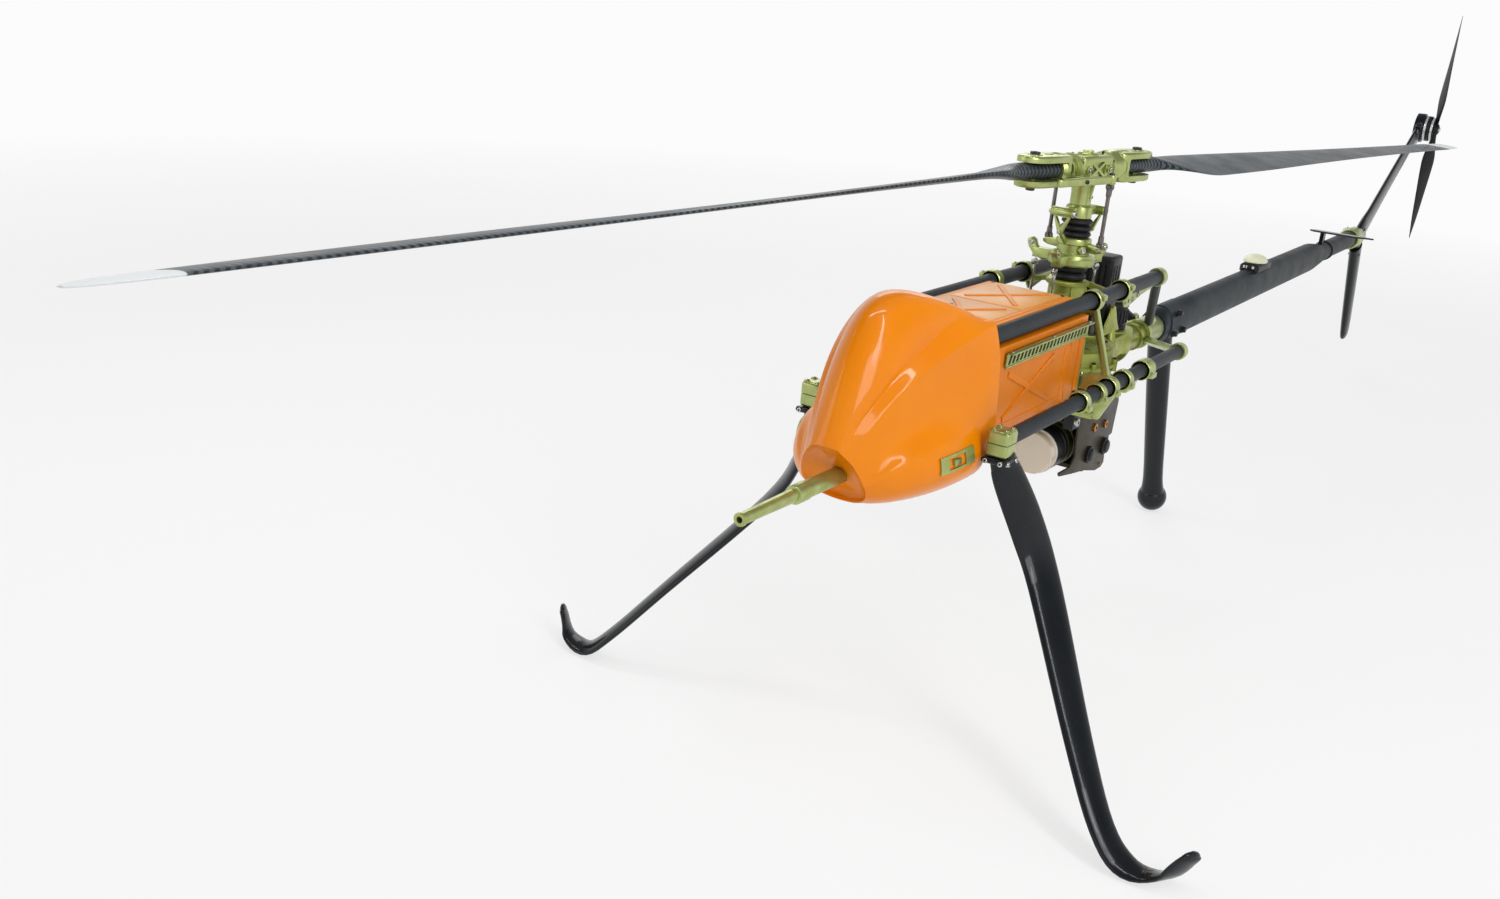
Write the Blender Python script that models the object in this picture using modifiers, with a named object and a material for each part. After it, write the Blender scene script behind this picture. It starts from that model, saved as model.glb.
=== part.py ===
"""Electric unmanned helicopter: tube frame, battery packs, nose cowl, two-blade rotor and tail boom.

The nose points along -Y, the port side is +X and the ground is z = 0. Everything is laid out round the
mast, and the last step moves it so that the origin is the middle of the helicopter's footprint.
"""
import math

import bmesh
import bpy
from mathutils import Matrix, Vector

GAP = 0.0003
TUBE_SIDES = 16

MAST_Y = -0.755
HUB_HEIGHT = 0.788
ROTOR_RADIUS = 1.60
ROTOR_AZIMUTH = math.radians(-10.5)
BLADE_CHORD = 0.112
BLADE_FLAP = {"a": -0.036, "b": 0.003}
BLADE_PITCH = {"a": 16, "b": 8}
TIP_SHARE = 0.937

UPPER_SPREAD = 0.086
UPPER_DROP = 0.187
UPPER_RADIUS = 0.012
LOWER_SPREAD = 0.146
LOWER_DROP = 0.3075
LOWER_RADIUS = 0.011
BULKHEAD_Y = -0.530
BULKHEAD_THICKNESS = 0.006
LEG_CLAMP_Y = -0.540
FRAME_REAR_Y = 0.200

COWL_REAR_Y = -0.500
COWL_WALL = 0.003
PROBE_RADIUS = 0.0115
PROBE_TIP_Y = -0.940

BATTERY_HALF_WIDTH = 0.100
BATTERY_REAR_Y = -0.155
BATTERY_TOP_DROP = 0.2005
BATTERY_BOTTOM_DROP = 0.335
LID_DROP = 0.178

SHAFT_RADIUS = 0.010
HOUSING_RADIUS = 0.030
GEARBOX_RADIUS = 0.0955
GEARBOX_TOP_DROP = 0.285
GEARBOX_BOTTOM_DROP = 0.337
MOTOR_Y = 0.232
MOTOR_RADIUS = 0.034

BOOM_DROP = 0.340
BOOM_START_Y = 0.505
BOOM_NECK_Y = 1.830
BOOM_END_Y = 2.290
BOOM_HEIGHT = 0.074
BOOM_WIDTH = 0.056
SLEEVE_RADIUS = 0.024
SPIGOT_RADIUS = 0.0225
COLLAR_RADIUS = 0.026
COLLAR_FRONT_Y = 0.412

FIN_ROOT_Y = 2.400
TAIL_HUB = Vector((0.046, 3.040, HUB_HEIGHT - 0.044))
TAIL_MOTOR_END = 0.034
TAIL_RADIUS = 0.360
FIN_FOOT_Y = 2.545
FIN_FOOT_DROP = 0.679

LATCH_FRONT_Y = -0.640
LATCH_REAR_Y = -0.572
LATCH_TOP_DROP = 0.312
LATCH_HEIGHT = 0.018
CHIN_NOTCH_DROP = 0.333

BALL_RADIUS = 0.031
REAR_FOOT_Y = 0.733
LEG_LINE = [
    (0.149, -0.538, 0.300, 0.018, 0.0120),
    (0.158, -0.528, 0.358, 0.024, 0.0095),
    (0.186, -0.502, 0.430, 0.028, 0.0080),
    (0.229, -0.510, 0.507, 0.027, 0.0070),
    (0.338, -0.603, 0.655, 0.022, 0.0065),
    (0.403, -0.648, 0.740, 0.020, 0.0065),
    (0.445, -0.653, 0.777, 0.021, 0.0065),
    (0.489, -0.644, 0.774, 0.022, 0.0060),
    (0.512, -0.635, 0.747, 0.019, 0.0055),
    (0.517, -0.633, 0.735, 0.010, 0.0040),
]

UPPER_Z = HUB_HEIGHT - UPPER_DROP
LOWER_Z = HUB_HEIGHT - LOWER_DROP
BOOM_Z = HUB_HEIGHT - BOOM_DROP
SIDES = {"port": 1, "starboard": -1}

COLOURS = {
    "gloss_orange": ((0.84, 0.26, 0.02), 0.0, 0.18),
    "matt_orange": ((0.72, 0.22, 0.03), 0.0, 0.50),
    "green_anodised": ((0.42, 0.46, 0.10), 0.8, 0.35),
    "carbon": ((0.035, 0.042, 0.048), 0.0, 0.45),
    "black_gloss": ((0.012, 0.014, 0.017), 0.0, 0.12),
    "black_plastic": ((0.02, 0.02, 0.022), 0.0, 0.5),
    "rubber": ((0.015, 0.015, 0.017), 0.0, 0.75),
    "steel": ((0.55, 0.55, 0.56), 1.0, 0.3),
    "payload_brown": ((0.06, 0.05, 0.045), 0.2, 0.4),
    "cream": ((0.75, 0.74, 0.62), 0.0, 0.5),
    "lens": ((0.55, 0.48, 0.40), 0.0, 0.25),
}


def clear_scene():
    for item in list(bpy.data.objects):
        bpy.data.objects.remove(item, do_unlink=True)


def make_collection(name):
    group = bpy.data.collections.new(name)
    bpy.context.scene.collection.children.link(group)
    return group


def make_material(name):
    colour, metallic, roughness = COLOURS[name]
    material = bpy.data.materials.get(name) or bpy.data.materials.new(name)
    material.use_nodes = True
    shader = material.node_tree.nodes["Principled BSDF"]
    shader.inputs["Base Color"].default_value = (*colour, 1)
    shader.inputs["Metallic"].default_value = metallic
    shader.inputs["Roughness"].default_value = roughness
    material.diffuse_color = (*colour, 1)
    return material


def add_object(name, mesh):
    item = bpy.data.objects.new(name, mesh)
    helicopter.objects.link(item)
    return item


def bake(item):
    """Turn an object's modifiers into its mesh."""
    bpy.context.view_layer.update()
    graph = bpy.context.evaluated_depsgraph_get()
    mesh = bpy.data.meshes.new_from_object(item.evaluated_get(graph))
    item.modifiers.clear()
    item.data = mesh
    return item


def combine(target, others, operation):
    for other in others:
        other.hide_render = True
        other.display_type = "WIRE"
        step = target.modifiers.new(operation.lower(), "BOOLEAN")
        step.operation = operation
        step.solver = "EXACT"
        step.object = other
        bake(target)
        bpy.data.objects.remove(other, do_unlink=True)
    return target


def join(target, *others):
    return combine(target, others, "UNION")


def cut(target, *others):
    return combine(target, others, "DIFFERENCE")


def box(name, low, high):
    """A box between two corners."""
    mesh = bpy.data.meshes.new(name)
    shape = bmesh.new()
    bmesh.ops.create_cube(shape, size=1)
    low, high = Vector(map(min, low, high)), Vector(map(max, low, high))
    size = high - low
    bmesh.ops.scale(shape, vec=size, verts=shape.verts)
    bmesh.ops.translate(shape, vec=(low + high) / 2, verts=shape.verts)
    shape.to_mesh(mesh)
    shape.free()
    return add_object(name, mesh)


def cylinder(name, start, end, radius, end_radius=None, sides=20):
    """A round bar or a cone between two points."""
    start, end = Vector(start), Vector(end)
    mesh = bpy.data.meshes.new(name)
    shape = bmesh.new()
    far = radius if end_radius is None else end_radius
    bmesh.ops.create_cone(shape, cap_ends=True, segments=sides, radius1=radius, radius2=far,
                          depth=(end - start).length)
    turn = (end - start).to_track_quat("Z", "Y").to_matrix().to_4x4()
    bmesh.ops.transform(shape, matrix=Matrix.Translation((start + end) / 2) @ turn, verts=shape.verts)
    shape.to_mesh(mesh)
    shape.free()
    return add_object(name, mesh)


def ball(name, centre, radius, rings=8):
    mesh = bpy.data.meshes.new(name)
    shape = bmesh.new()
    bmesh.ops.create_uvsphere(shape, u_segments=2 * rings, v_segments=rings, radius=radius)
    bmesh.ops.translate(shape, vec=centre, verts=shape.verts)
    shape.to_mesh(mesh)
    shape.free()
    return add_object(name, mesh)


def loft(name, rings):
    """A closed skin over rings that all have the same number of points."""
    mesh = bpy.data.meshes.new(name)
    shape = bmesh.new()
    rows = [[shape.verts.new(point) for point in ring] for ring in rings]
    count = len(rows[0])
    for near, far in zip(rows, rows[1:]):
        for i in range(count):
            shape.faces.new((near[i], near[(i + 1) % count], far[(i + 1) % count], far[i]))
    shape.faces.new(rows[0])
    shape.faces.new(rows[-1])
    bmesh.ops.recalc_face_normals(shape, faces=shape.faces)
    shape.to_mesh(mesh)
    shape.free()
    return add_object(name, mesh)


def oval(centre, across, along, half_across, half_along, count=12):
    ring = []
    for i in range(count):
        angle = 2 * math.pi * i / count
        ring.append(centre + across * (half_across * math.cos(angle)) + along * (half_along * math.sin(angle)))
    return ring


def sweep(name, stations, across, count=12):
    """A tapered oval bar. A station is a centre, a half width along across and a half depth."""
    rings = []
    for i, (centre, half_across, half_along) in enumerate(stations):
        before = stations[max(i - 1, 0)][0]
        after = stations[min(i + 1, len(stations) - 1)][0]
        tangent = (after - before).normalized()
        side = (across - tangent * across.dot(tangent)).normalized()
        rings.append(oval(centre, side, tangent.cross(side), half_across, half_along, count))
    return loft(name, rings)


def turned(name, profile, centre, sides=20):
    """A solid of revolution about Z. The profile runs (radius, height), outer side top to bottom.

    A profile that starts and ends on the axis stays open, and any other is closed round a bore.
    """
    mesh = bpy.data.meshes.new(name)
    shape = bmesh.new()
    points = [shape.verts.new((radius, 0, height)) for radius, height in profile]
    touches_axis = profile[0][0] == 0
    ends = points[1:] if touches_axis else points[1:] + points[:1]
    for start, end in zip(points, ends):
        shape.edges.new((start, end))
    shape.to_mesh(mesh)
    shape.free()
    item = add_object(name, mesh)
    screw = item.modifiers.new("turn", "SCREW")
    screw.axis = "Z"
    screw.steps = sides
    screw.render_steps = sides
    screw.use_merge_vertices = True
    screw.merge_threshold = 0.00001
    bake(item)
    item.data.transform(Matrix.Translation(centre))
    return item


def plate(name, outline, thickness, frame):
    """A flat outline in the frame's XY plane, thickened about that plane."""
    curve = bpy.data.curves.new(name, "CURVE")
    curve.dimensions = "2D"
    curve.fill_mode = "BOTH"
    curve.extrude = thickness / 2
    spline = curve.splines.new("POLY")
    spline.points.add(len(outline) - 1)
    for point, (x, y) in zip(spline.points, outline):
        point.co = (x, y, 0, 1)
    spline.use_cyclic_u = True
    item = bpy.data.objects.new(name, curve)
    helicopter.objects.link(item)
    bpy.context.view_layer.update()
    graph = bpy.context.evaluated_depsgraph_get()
    mesh = bpy.data.meshes.new_from_object(item.evaluated_get(graph))
    bpy.data.objects.remove(item, do_unlink=True)
    shape = bmesh.new()
    shape.from_mesh(mesh)
    bmesh.ops.remove_doubles(shape, verts=shape.verts, dist=0.00001)
    bmesh.ops.transform(shape, matrix=frame, verts=shape.verts)
    bmesh.ops.recalc_face_normals(shape, faces=shape.faces)
    shape.to_mesh(mesh)
    shape.free()
    return add_object(name, mesh)


def keep_largest(item):
    """Drop every loose piece of a mesh but the one with most vertices."""
    shape = bmesh.new()
    shape.from_mesh(item.data)
    left = set(shape.verts)
    groups = []
    while left:
        front = [left.pop()]
        group = list(front)
        while front:
            vert = front.pop()
            for edge in vert.link_edges:
                other = edge.other_vert(vert)
                if other in left:
                    left.remove(other)
                    front.append(other)
                    group.append(other)
        groups.append(group)
    groups.sort(key=len)
    for group in groups[:-1]:
        bmesh.ops.delete(shape, geom=group, context="VERTS")
    shape.to_mesh(item.data)
    shape.free()
    return item


def soften(item, width, segments=1):
    bevel = item.modifiers.new("edges", "BEVEL")
    bevel.width = width
    bevel.segments = segments
    bevel.limit_method = "ANGLE"
    bevel.angle_limit = math.radians(40)
    return bake(item)


def finish(item, colour, parent=None):
    """Give an object its material, its shading and its parent."""
    item.data.materials.clear()
    item.data.materials.append(make_material(colour))
    item.data.shade_smooth()
    item.data.set_sharp_from_angle(angle=math.radians(35))
    item.hide_render = False
    item.display_type = "TEXTURED"
    if parent:
        item.parent = parent
    return item


def axis_empty(name, location, rotation=(0, 0, 0)):
    empty = bpy.data.objects.new(name, None)
    empty.location = location
    empty.rotation_euler = rotation
    helicopter.objects.link(empty)
    return empty


def bezier(points, share):
    a, b, c, d = points
    rest = 1 - share
    return a * rest ** 3 + b * (3 * rest ** 2 * share) + c * (3 * rest * share ** 2) + d * share ** 3


def smooth_line(rows, steps):
    """More rows along a smooth curve through the given ones."""
    padded = [rows[0], *rows, rows[-1]]
    line = []
    for before, start, end, after in zip(padded, padded[1:], padded[2:], padded[3:]):
        for i in range(steps):
            t = i / steps
            line.append([q + 0.5 * t * (r - p + t * (2 * p - 5 * q + 4 * r - s + t * (3 * (q - r) + s - p)))
                         for p, q, r, s in zip(before, start, end, after)])
    return [*line, list(rows[-1])]


def at(x, y, drop):
    """A point given by its drop below the rotor hub."""
    return Vector((x, y, HUB_HEIGHT - drop))


def cowl_surface(name):
    """The open skin of the nose, from its rear rim over the lip of the chin to the hole of the probe.

    Each guide line is a curve from the rim to the lip. They follow the hood, the crease beside it, the
    shoulder ridge, the hollow side panel, the cheek ridge and the belly, from the top to the bottom.
    """
    rear = COWL_REAR_Y
    lines = [
        [at(0, rear, 0.153), at(0, -0.635, 0.082), at(0, -0.715, 0.118), at(0, -0.762, 0.302)],
        [at(0.032, rear, 0.154), at(0.036, -0.625, 0.092), at(0.034, -0.700, 0.132), at(0.010, -0.761, 0.303)],
        [at(0.060, rear, 0.156), at(0.042, -0.612, 0.096), at(0.064, -0.694, 0.213), at(0.018, -0.759, 0.304)],
        [at(0.066, rear, 0.158), at(0.065, -0.580, 0.137), at(0.043, -0.712, 0.232), at(0.021, -0.757, 0.306)],
        [at(0.097, rear, 0.163), at(0.094, -0.589, 0.183), at(0.050, -0.709, 0.212), at(0.035, -0.745, 0.322)],
        [at(0.110, rear, 0.200), at(0.097, -0.580, 0.215), at(0.062, -0.700, 0.262), at(0.043, -0.738, 0.337)],
        [at(0.115, rear, 0.260), at(0.101, -0.580, 0.265), at(0.070, -0.700, 0.290), at(0.046, -0.732, 0.348)],
        [at(0.118, rear, 0.315), at(0.122, -0.580, 0.290), at(0.090, -0.715, 0.295), at(0.048, -0.726, 0.358)],
        [at(0.128, rear, 0.348), at(0.150, -0.600, 0.345), at(0.105, -0.720, 0.345), at(0.046, -0.716, 0.374)],
        [at(0.085, rear, 0.384), at(0.100, -0.600, 0.393), at(0.065, -0.700, 0.393), at(0.028, -0.706, 0.385)],
        [at(0, rear, 0.390), at(0, -0.600, 0.400), at(0, -0.690, 0.396), at(0, -0.702, 0.388)],
    ]
    ridges = {3: 0.6, 4: 0.5, 7: 0.4}
    hollows = {5: 0.007, 6: 0.006}
    shares = [0, 0.09, 0.16, 0.32, 0.5, 0.68, 0.85, 1]
    probe = at(0, -0.730, 0.354)
    hole = 0.4 * PROBE_RADIUS
    mesh = bpy.data.meshes.new(name)
    shape = bmesh.new()
    rows = []
    for i, line in enumerate(lines):
        points = [bezier(line, share) for share in shares]
        for point in points[3:5]:
            point.x -= hollows.get(i, 0)
        angle = math.pi * i / (len(lines) - 1)
        rim = probe + Vector((hole * math.sin(angle), 0, hole * math.cos(angle)))
        points.append(points[-1].lerp(rim, 0.25) + Vector((0, 0.012, 0)))
        points.append(rim)
        rows.append([shape.verts.new(point) for point in points])
    sharpness = shape.edges.layers.float.new("crease_edge")
    for near, far in zip(rows, rows[1:]):
        for i in range(len(near) - 1):
            shape.faces.new((near[i], near[i + 1], far[i + 1], far[i]))
    for index, value in ridges.items():
        for start, end in zip(rows[index][:len(shares)], rows[index][1:len(shares)]):
            shape.edges.get((start, end))[sharpness] = value
    shape.to_mesh(mesh)
    shape.free()
    item = add_object(name, mesh)
    mirror = item.modifiers.new("mirror", "MIRROR")
    mirror.merge_threshold = 0.0001
    smooth = item.modifiers.new("smooth", "SUBSURF")
    smooth.levels = 1
    smooth.render_levels = 1
    smooth.boundary_smooth = "PRESERVE_CORNERS"
    return bake(item)


def cowl_layer(name, inside, outside):
    """The cowl's skin, grown inwards and outwards by the given distances."""
    item = cowl_surface(name)
    total = inside + outside
    thick = item.modifiers.new("wall", "SOLIDIFY")
    thick.thickness = total
    thick.offset = (outside - inside) / total
    return bake(item)


def tube_bore(y_low, y_high, spread, z, radius):
    return cylinder("bore", (spread, y_low, z), (spread, y_high, z), radius + GAP, sides=TUBE_SIDES)


def ring_on_tube(name, y, spread, z, radius, width, wall=0.0045):
    """A clamp ring, still without its bore."""
    return cylinder(name, (spread, y - width / 2, z), (spread, y + width / 2, z), radius + wall, sides=TUBE_SIDES)


def bore_rings(item, y_low, y_high, upper=True, lower=True):
    for side in SIDES.values():
        if upper:
            cut(item, tube_bore(y_low, y_high, side * UPPER_SPREAD, UPPER_Z, UPPER_RADIUS))
        if lower:
            cut(item, tube_bore(y_low, y_high, side * LOWER_SPREAD, LOWER_Z, LOWER_RADIUS))
    return item


def build_frame():
    front = BULKHEAD_Y + BULKHEAD_THICKNESS / 2 + GAP
    for side, sign in SIDES.items():
        upper = cylinder(f"frame_tube_upper_{side}", (sign * UPPER_SPREAD, front, UPPER_Z),
                         (sign * UPPER_SPREAD, FRAME_REAR_Y, UPPER_Z), UPPER_RADIUS, sides=TUBE_SIDES)
        finish(upper, "carbon")
        lower = cylinder(f"frame_tube_lower_{side}", (sign * LOWER_SPREAD, LEG_CLAMP_Y - 0.02, LOWER_Z),
                         (sign * LOWER_SPREAD, FRAME_REAR_Y, LOWER_Z), LOWER_RADIUS, sides=TUBE_SIDES)
        finish(lower, "carbon")


def build_front_bracket():
    """The leaning yoke around all four tubes, between the batteries and the gearbox."""
    upper_y, lower_y = -0.109, -0.144
    width = 0.018
    outline = [(-LOWER_SPREAD, LOWER_Z - 0.010), (LOWER_SPREAD, LOWER_Z - 0.010),
               (LOWER_SPREAD, LOWER_Z + 0.010), (UPPER_SPREAD + 0.008, UPPER_Z),
               (UPPER_SPREAD - 0.010, UPPER_Z + 0.008), (0.040, LOWER_Z + 0.045),
               (-0.040, LOWER_Z + 0.045), (-UPPER_SPREAD + 0.010, UPPER_Z + 0.008),
               (-UPPER_SPREAD - 0.008, UPPER_Z), (-LOWER_SPREAD, LOWER_Z + 0.010)]
    lean = (upper_y - lower_y) / (UPPER_Z - LOWER_Z)
    frame = Matrix(((1, 0, 0, 0), (0, lean, -1, lower_y - lean * LOWER_Z), (0, 1, 0, 0), (0, 0, 0, 1)))
    item = plate("frame_bracket_front", outline, 0.010, frame)
    for sign in SIDES.values():
        window = [(sign * 0.050, LOWER_Z + 0.012), (sign * 0.112, LOWER_Z + 0.012),
                  (sign * 0.080, UPPER_Z - 0.035)]
        cut(item, plate("window", window, 0.03, frame))
        join(item, ring_on_tube("ring", upper_y, sign * UPPER_SPREAD, UPPER_Z, UPPER_RADIUS, width))
        join(item, ring_on_tube("ring", lower_y, sign * LOWER_SPREAD, LOWER_Z, LOWER_RADIUS, width))
    bore_rings(item, lower_y - 0.03, upper_y + 0.03)
    finish(item, "green_anodised")


def build_rear_bracket():
    """The cross bar under the gearbox, with a ring on each lower tube."""
    y = 0.019
    top = HUB_HEIGHT - GEARBOX_BOTTOM_DROP - GAP
    item = box("frame_bracket_rear", (-0.125, y - 0.012, top - 0.014), (0.125, y + 0.012, top))
    for sign in SIDES.values():
        outline = [(sign * 0.100, top - 0.014), (sign * 0.127, top - 0.014),
                   (sign * (LOWER_SPREAD + 0.006), LOWER_Z + 0.006), (sign * (LOWER_SPREAD - 0.008), LOWER_Z + 0.010),
                   (sign * 0.108, top)]
        frame = Matrix.Translation((0, y, 0)) @ Matrix.Rotation(math.pi / 2, 4, "X")
        join(item, plate("arm", outline, 0.018, frame))
        join(item, ring_on_tube("ring", y, sign * LOWER_SPREAD, LOWER_Z, LOWER_RADIUS, 0.030))
    bore_rings(item, y - 0.03, y + 0.03, upper=False)
    finish(item, "green_anodised")


def build_bulkhead():
    low, high = BULKHEAD_Y - BULKHEAD_THICKNESS / 2, BULKHEAD_Y + BULKHEAD_THICKNESS / 2
    item = box("nose_bulkhead", (-0.128, low, HUB_HEIGHT - 0.405), (0.128, high, HUB_HEIGHT - 0.142))
    cut(item, cowl_layer("skin", COWL_WALL + 0.0012, 0.03))
    keep_largest(item)
    finish(item, "green_anodised")


def clamp_block(name, sign, grow=0.0):
    low = (sign * LOWER_SPREAD - 0.0165 - grow, LEG_CLAMP_Y - 0.020 - grow, LOWER_Z - 0.0205 - grow)
    high = (sign * LOWER_SPREAD + 0.0165 + grow, LEG_CLAMP_Y + 0.020 + grow, LOWER_Z + 0.0180 + grow)
    return box(name, low, high)


def build_cowl():
    item = cowl_layer("nose_cowl", COWL_WALL, 0.0)
    probe_axis = (at(0, -0.60, 0.352), at(0, -0.80, 0.352))
    cut(item, cylinder("hole", *probe_axis, PROBE_RADIUS + GAP))
    cut(item, box("notch", (-0.2, LEG_CLAMP_Y - 0.001, 0), (0.2, COWL_REAR_Y + 0.02, HUB_HEIGHT - CHIN_NOTCH_DROP)))
    for sign in SIDES.values():
        cut(item, clamp_block("clamp", sign, 0.0008))
        cut(item, tube_bore(-0.6, -0.4, sign * LOWER_SPREAD, LOWER_Z, LOWER_RADIUS + 0.0005))
        cut(item, tube_bore(BULKHEAD_Y, -0.4, sign * UPPER_SPREAD, UPPER_Z, UPPER_RADIUS + 0.0003))
    finish(item, "gloss_orange")


def build_latches():
    for side, sign in SIDES.items():
        top = HUB_HEIGHT - LATCH_TOP_DROP
        item = box(f"nose_latch_{side}", (sign * 0.102, LATCH_FRONT_Y, top - LATCH_HEIGHT),
                   (sign * 0.136, LATCH_REAR_Y, top))
        cut(item, cowl_layer("skin", 0.05, GAP))
        keep_largest(item)
        finish(item, "green_anodised")


def build_probe():
    """The stepped air data tube, which passes through the chin and ends on the bulkhead."""
    z = HUB_HEIGHT - 0.352
    rear = BULKHEAD_Y - BULKHEAD_THICKNESS / 2 - GAP
    item = cylinder("nose_probe", (0, rear, z), (0, -0.800, z), PROBE_RADIUS, sides=16)
    join(item, cylinder("collar", (0, -0.795, z), (0, -0.822, z), 0.0125, sides=16))
    join(item, cylinder("front", (0, -0.820, z), (0, PROBE_TIP_Y, z), 0.0090, 0.0075, sides=16))
    cut(item, cylinder("bore", (0, PROBE_TIP_Y + 0.02, z), (0, PROBE_TIP_Y - 0.01, z), 0.0040, sides=12))
    finish(item, "green_anodised")


def build_batteries():
    front = BULKHEAD_Y + BULKHEAD_THICKNESS / 2 + GAP
    top = HUB_HEIGHT - BATTERY_TOP_DROP
    bottom = HUB_HEIGHT - BATTERY_BOTTOM_DROP
    half = BATTERY_HALF_WIDTH
    pack = box("battery_pack", (-half, front, bottom), (half, BATTERY_REAR_Y, top))
    soften(pack, 0.004)
    finish(pack, "matt_orange")
    lid_half = UPPER_SPREAD - UPPER_RADIUS - 0.002
    lid = box("battery_lid", (-lid_half, front, top + GAP), (lid_half, BATTERY_REAR_Y, HUB_HEIGHT - LID_DROP))
    soften(lid, 0.003)
    finish(lid, "matt_orange")
    for side, sign in SIDES.items():
        build_rail(side, sign, half + GAP)


def build_rail(side, sign, inner):
    """An L rail with a row of slanted slots along the battery's side."""
    top = HUB_HEIGHT - 0.209
    bottom = HUB_HEIGHT - 0.231
    front, rear = -0.462, BATTERY_REAR_Y - 0.002
    outline = [(inner, bottom), (inner + 0.002, bottom), (inner + 0.002, top - 0.002),
               (inner + 0.011, top - 0.002), (inner + 0.011, top), (inner, top)]
    frame = Matrix.Translation((0, (front + rear) / 2, 0)) @ Matrix.Rotation(math.pi / 2, 4, "X")
    outline = [(sign * x, z) for x, z in outline]
    item = plate(f"battery_rail_{side}", outline, rear - front, frame)
    count = 24
    pitch = (rear - front - 0.012) / count
    slots = None
    for i in range(count):
        y = front + 0.006 + pitch * (i + 0.5)
        low, high = bottom + 0.004, top - 0.005
        slant = 0.004
        corners = [(y - 0.0028 - slant, low), (y + 0.0028 - slant, low),
                   (y + 0.0028 + slant, high), (y - 0.0028 + slant, high)]
        rings = [[Vector((x, *corner)) for corner in corners]
                 for x in (sign * (inner - 0.003), sign * (inner + 0.005))]
        slot = loft("slot", rings)
        if slots is None:
            slots = slot
        else:
            gather(slots, slot)
    cut(item, slots)
    finish(item, "green_anodised")


def gather(target, other):
    """Add another object's mesh to the target's without a union."""
    shape = bmesh.new()
    shape.from_mesh(target.data)
    shape.from_mesh(other.data)
    shape.to_mesh(target.data)
    shape.free()
    bpy.data.objects.remove(other, do_unlink=True)


def build_battery_tray():
    """Two cross bars under the battery, joined by a spine, with a ring on each lower tube."""
    top = HUB_HEIGHT - BATTERY_BOTTOM_DROP - GAP
    item = box("battery_tray", (-0.050, -0.400, top - 0.004), (0.050, -0.190, top))
    for y in (-0.264, -0.197):
        join(item, box("bar", (-0.120, y - 0.008, top - 0.007), (0.120, y + 0.008, top)))
        for sign in SIDES.values():
            frame = Matrix.Translation((0, y, 0)) @ Matrix.Rotation(math.pi / 2, 4, "X")
            outline = [(sign * 0.104, top - 0.007), (sign * 0.122, top - 0.007),
                       (sign * (LOWER_SPREAD + 0.004), LOWER_Z - 0.006),
                       (sign * (LOWER_SPREAD - 0.010), LOWER_Z + 0.004), (sign * 0.110, top)]
            join(item, plate("arm", outline, 0.010, frame))
            join(item, ring_on_tube("ring", y, sign * LOWER_SPREAD, LOWER_Z, LOWER_RADIUS, 0.014))
    bore_rings(item, -0.45, -0.18, upper=False)
    finish(item, "green_anodised")


def build_gearbox():
    """The cast housing around the mast's foot, with a lobe for the motor and the neck of the tail spigot."""
    top = HUB_HEIGHT - GEARBOX_TOP_DROP
    bottom = HUB_HEIGHT - GEARBOX_BOTTOM_DROP
    seam = (top + bottom) / 2
    web_top = top - 0.014
    item = cylinder("main_gearbox", (0, 0, bottom), (0, 0, top), GEARBOX_RADIUS, sides=32)
    join(item, cylinder("flange", (0, 0, seam - 0.003), (0, 0, seam + 0.003), GEARBOX_RADIUS + 0.004, sides=32))
    join(item, cylinder("lobe", (0, MOTOR_Y, bottom), (0, MOTOR_Y, top - 0.012), 0.048, sides=24))
    join(item, box("web", (-0.046, 0.06, bottom + 0.004), (0.046, MOTOR_Y, web_top)))
    join(item, cylinder("neck", (0, MOTOR_Y, BOOM_Z + 0.008), (0, MOTOR_Y + 0.062, BOOM_Z), 0.030, 0.026))
    for sign in SIDES.values():
        join(item, cylinder("rib", (sign * 0.044, 0.145, bottom + 0.01), (sign * 0.032, 0.145, top + 0.045),
                            0.012, 0.004, sides=12))
    join(item, cylinder("spigot", (0, MOTOR_Y + 0.020, BOOM_Z), (0, BOOM_START_Y - GAP, BOOM_Z), SPIGOT_RADIUS))
    finish(item, "green_anodised")
    motor_top = HUB_HEIGHT - 0.245
    motor_foot = top - 0.012 + GAP
    profile = [(0, motor_top), (MOTOR_RADIUS - 0.006, motor_top), (MOTOR_RADIUS, motor_top - 0.005),
               (MOTOR_RADIUS, motor_foot), (0, motor_foot)]
    motor = turned("drive_motor", profile, Vector((0, MOTOR_Y, 0)))
    finish(motor, "black_plastic")
    controller = box("controller_box", (-0.031, 0.120, web_top + GAP), (0.031, 0.172, HUB_HEIGHT - 0.155))
    soften(controller, 0.006)
    cut_ribs = [cylinder("clear", (s * 0.044, 0.145, bottom), (s * 0.032, 0.145, top + 0.05), 0.013, 0.006)
                for s in SIDES.values()]
    cut(controller, *cut_ribs)
    finish(controller, "black_plastic")


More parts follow.
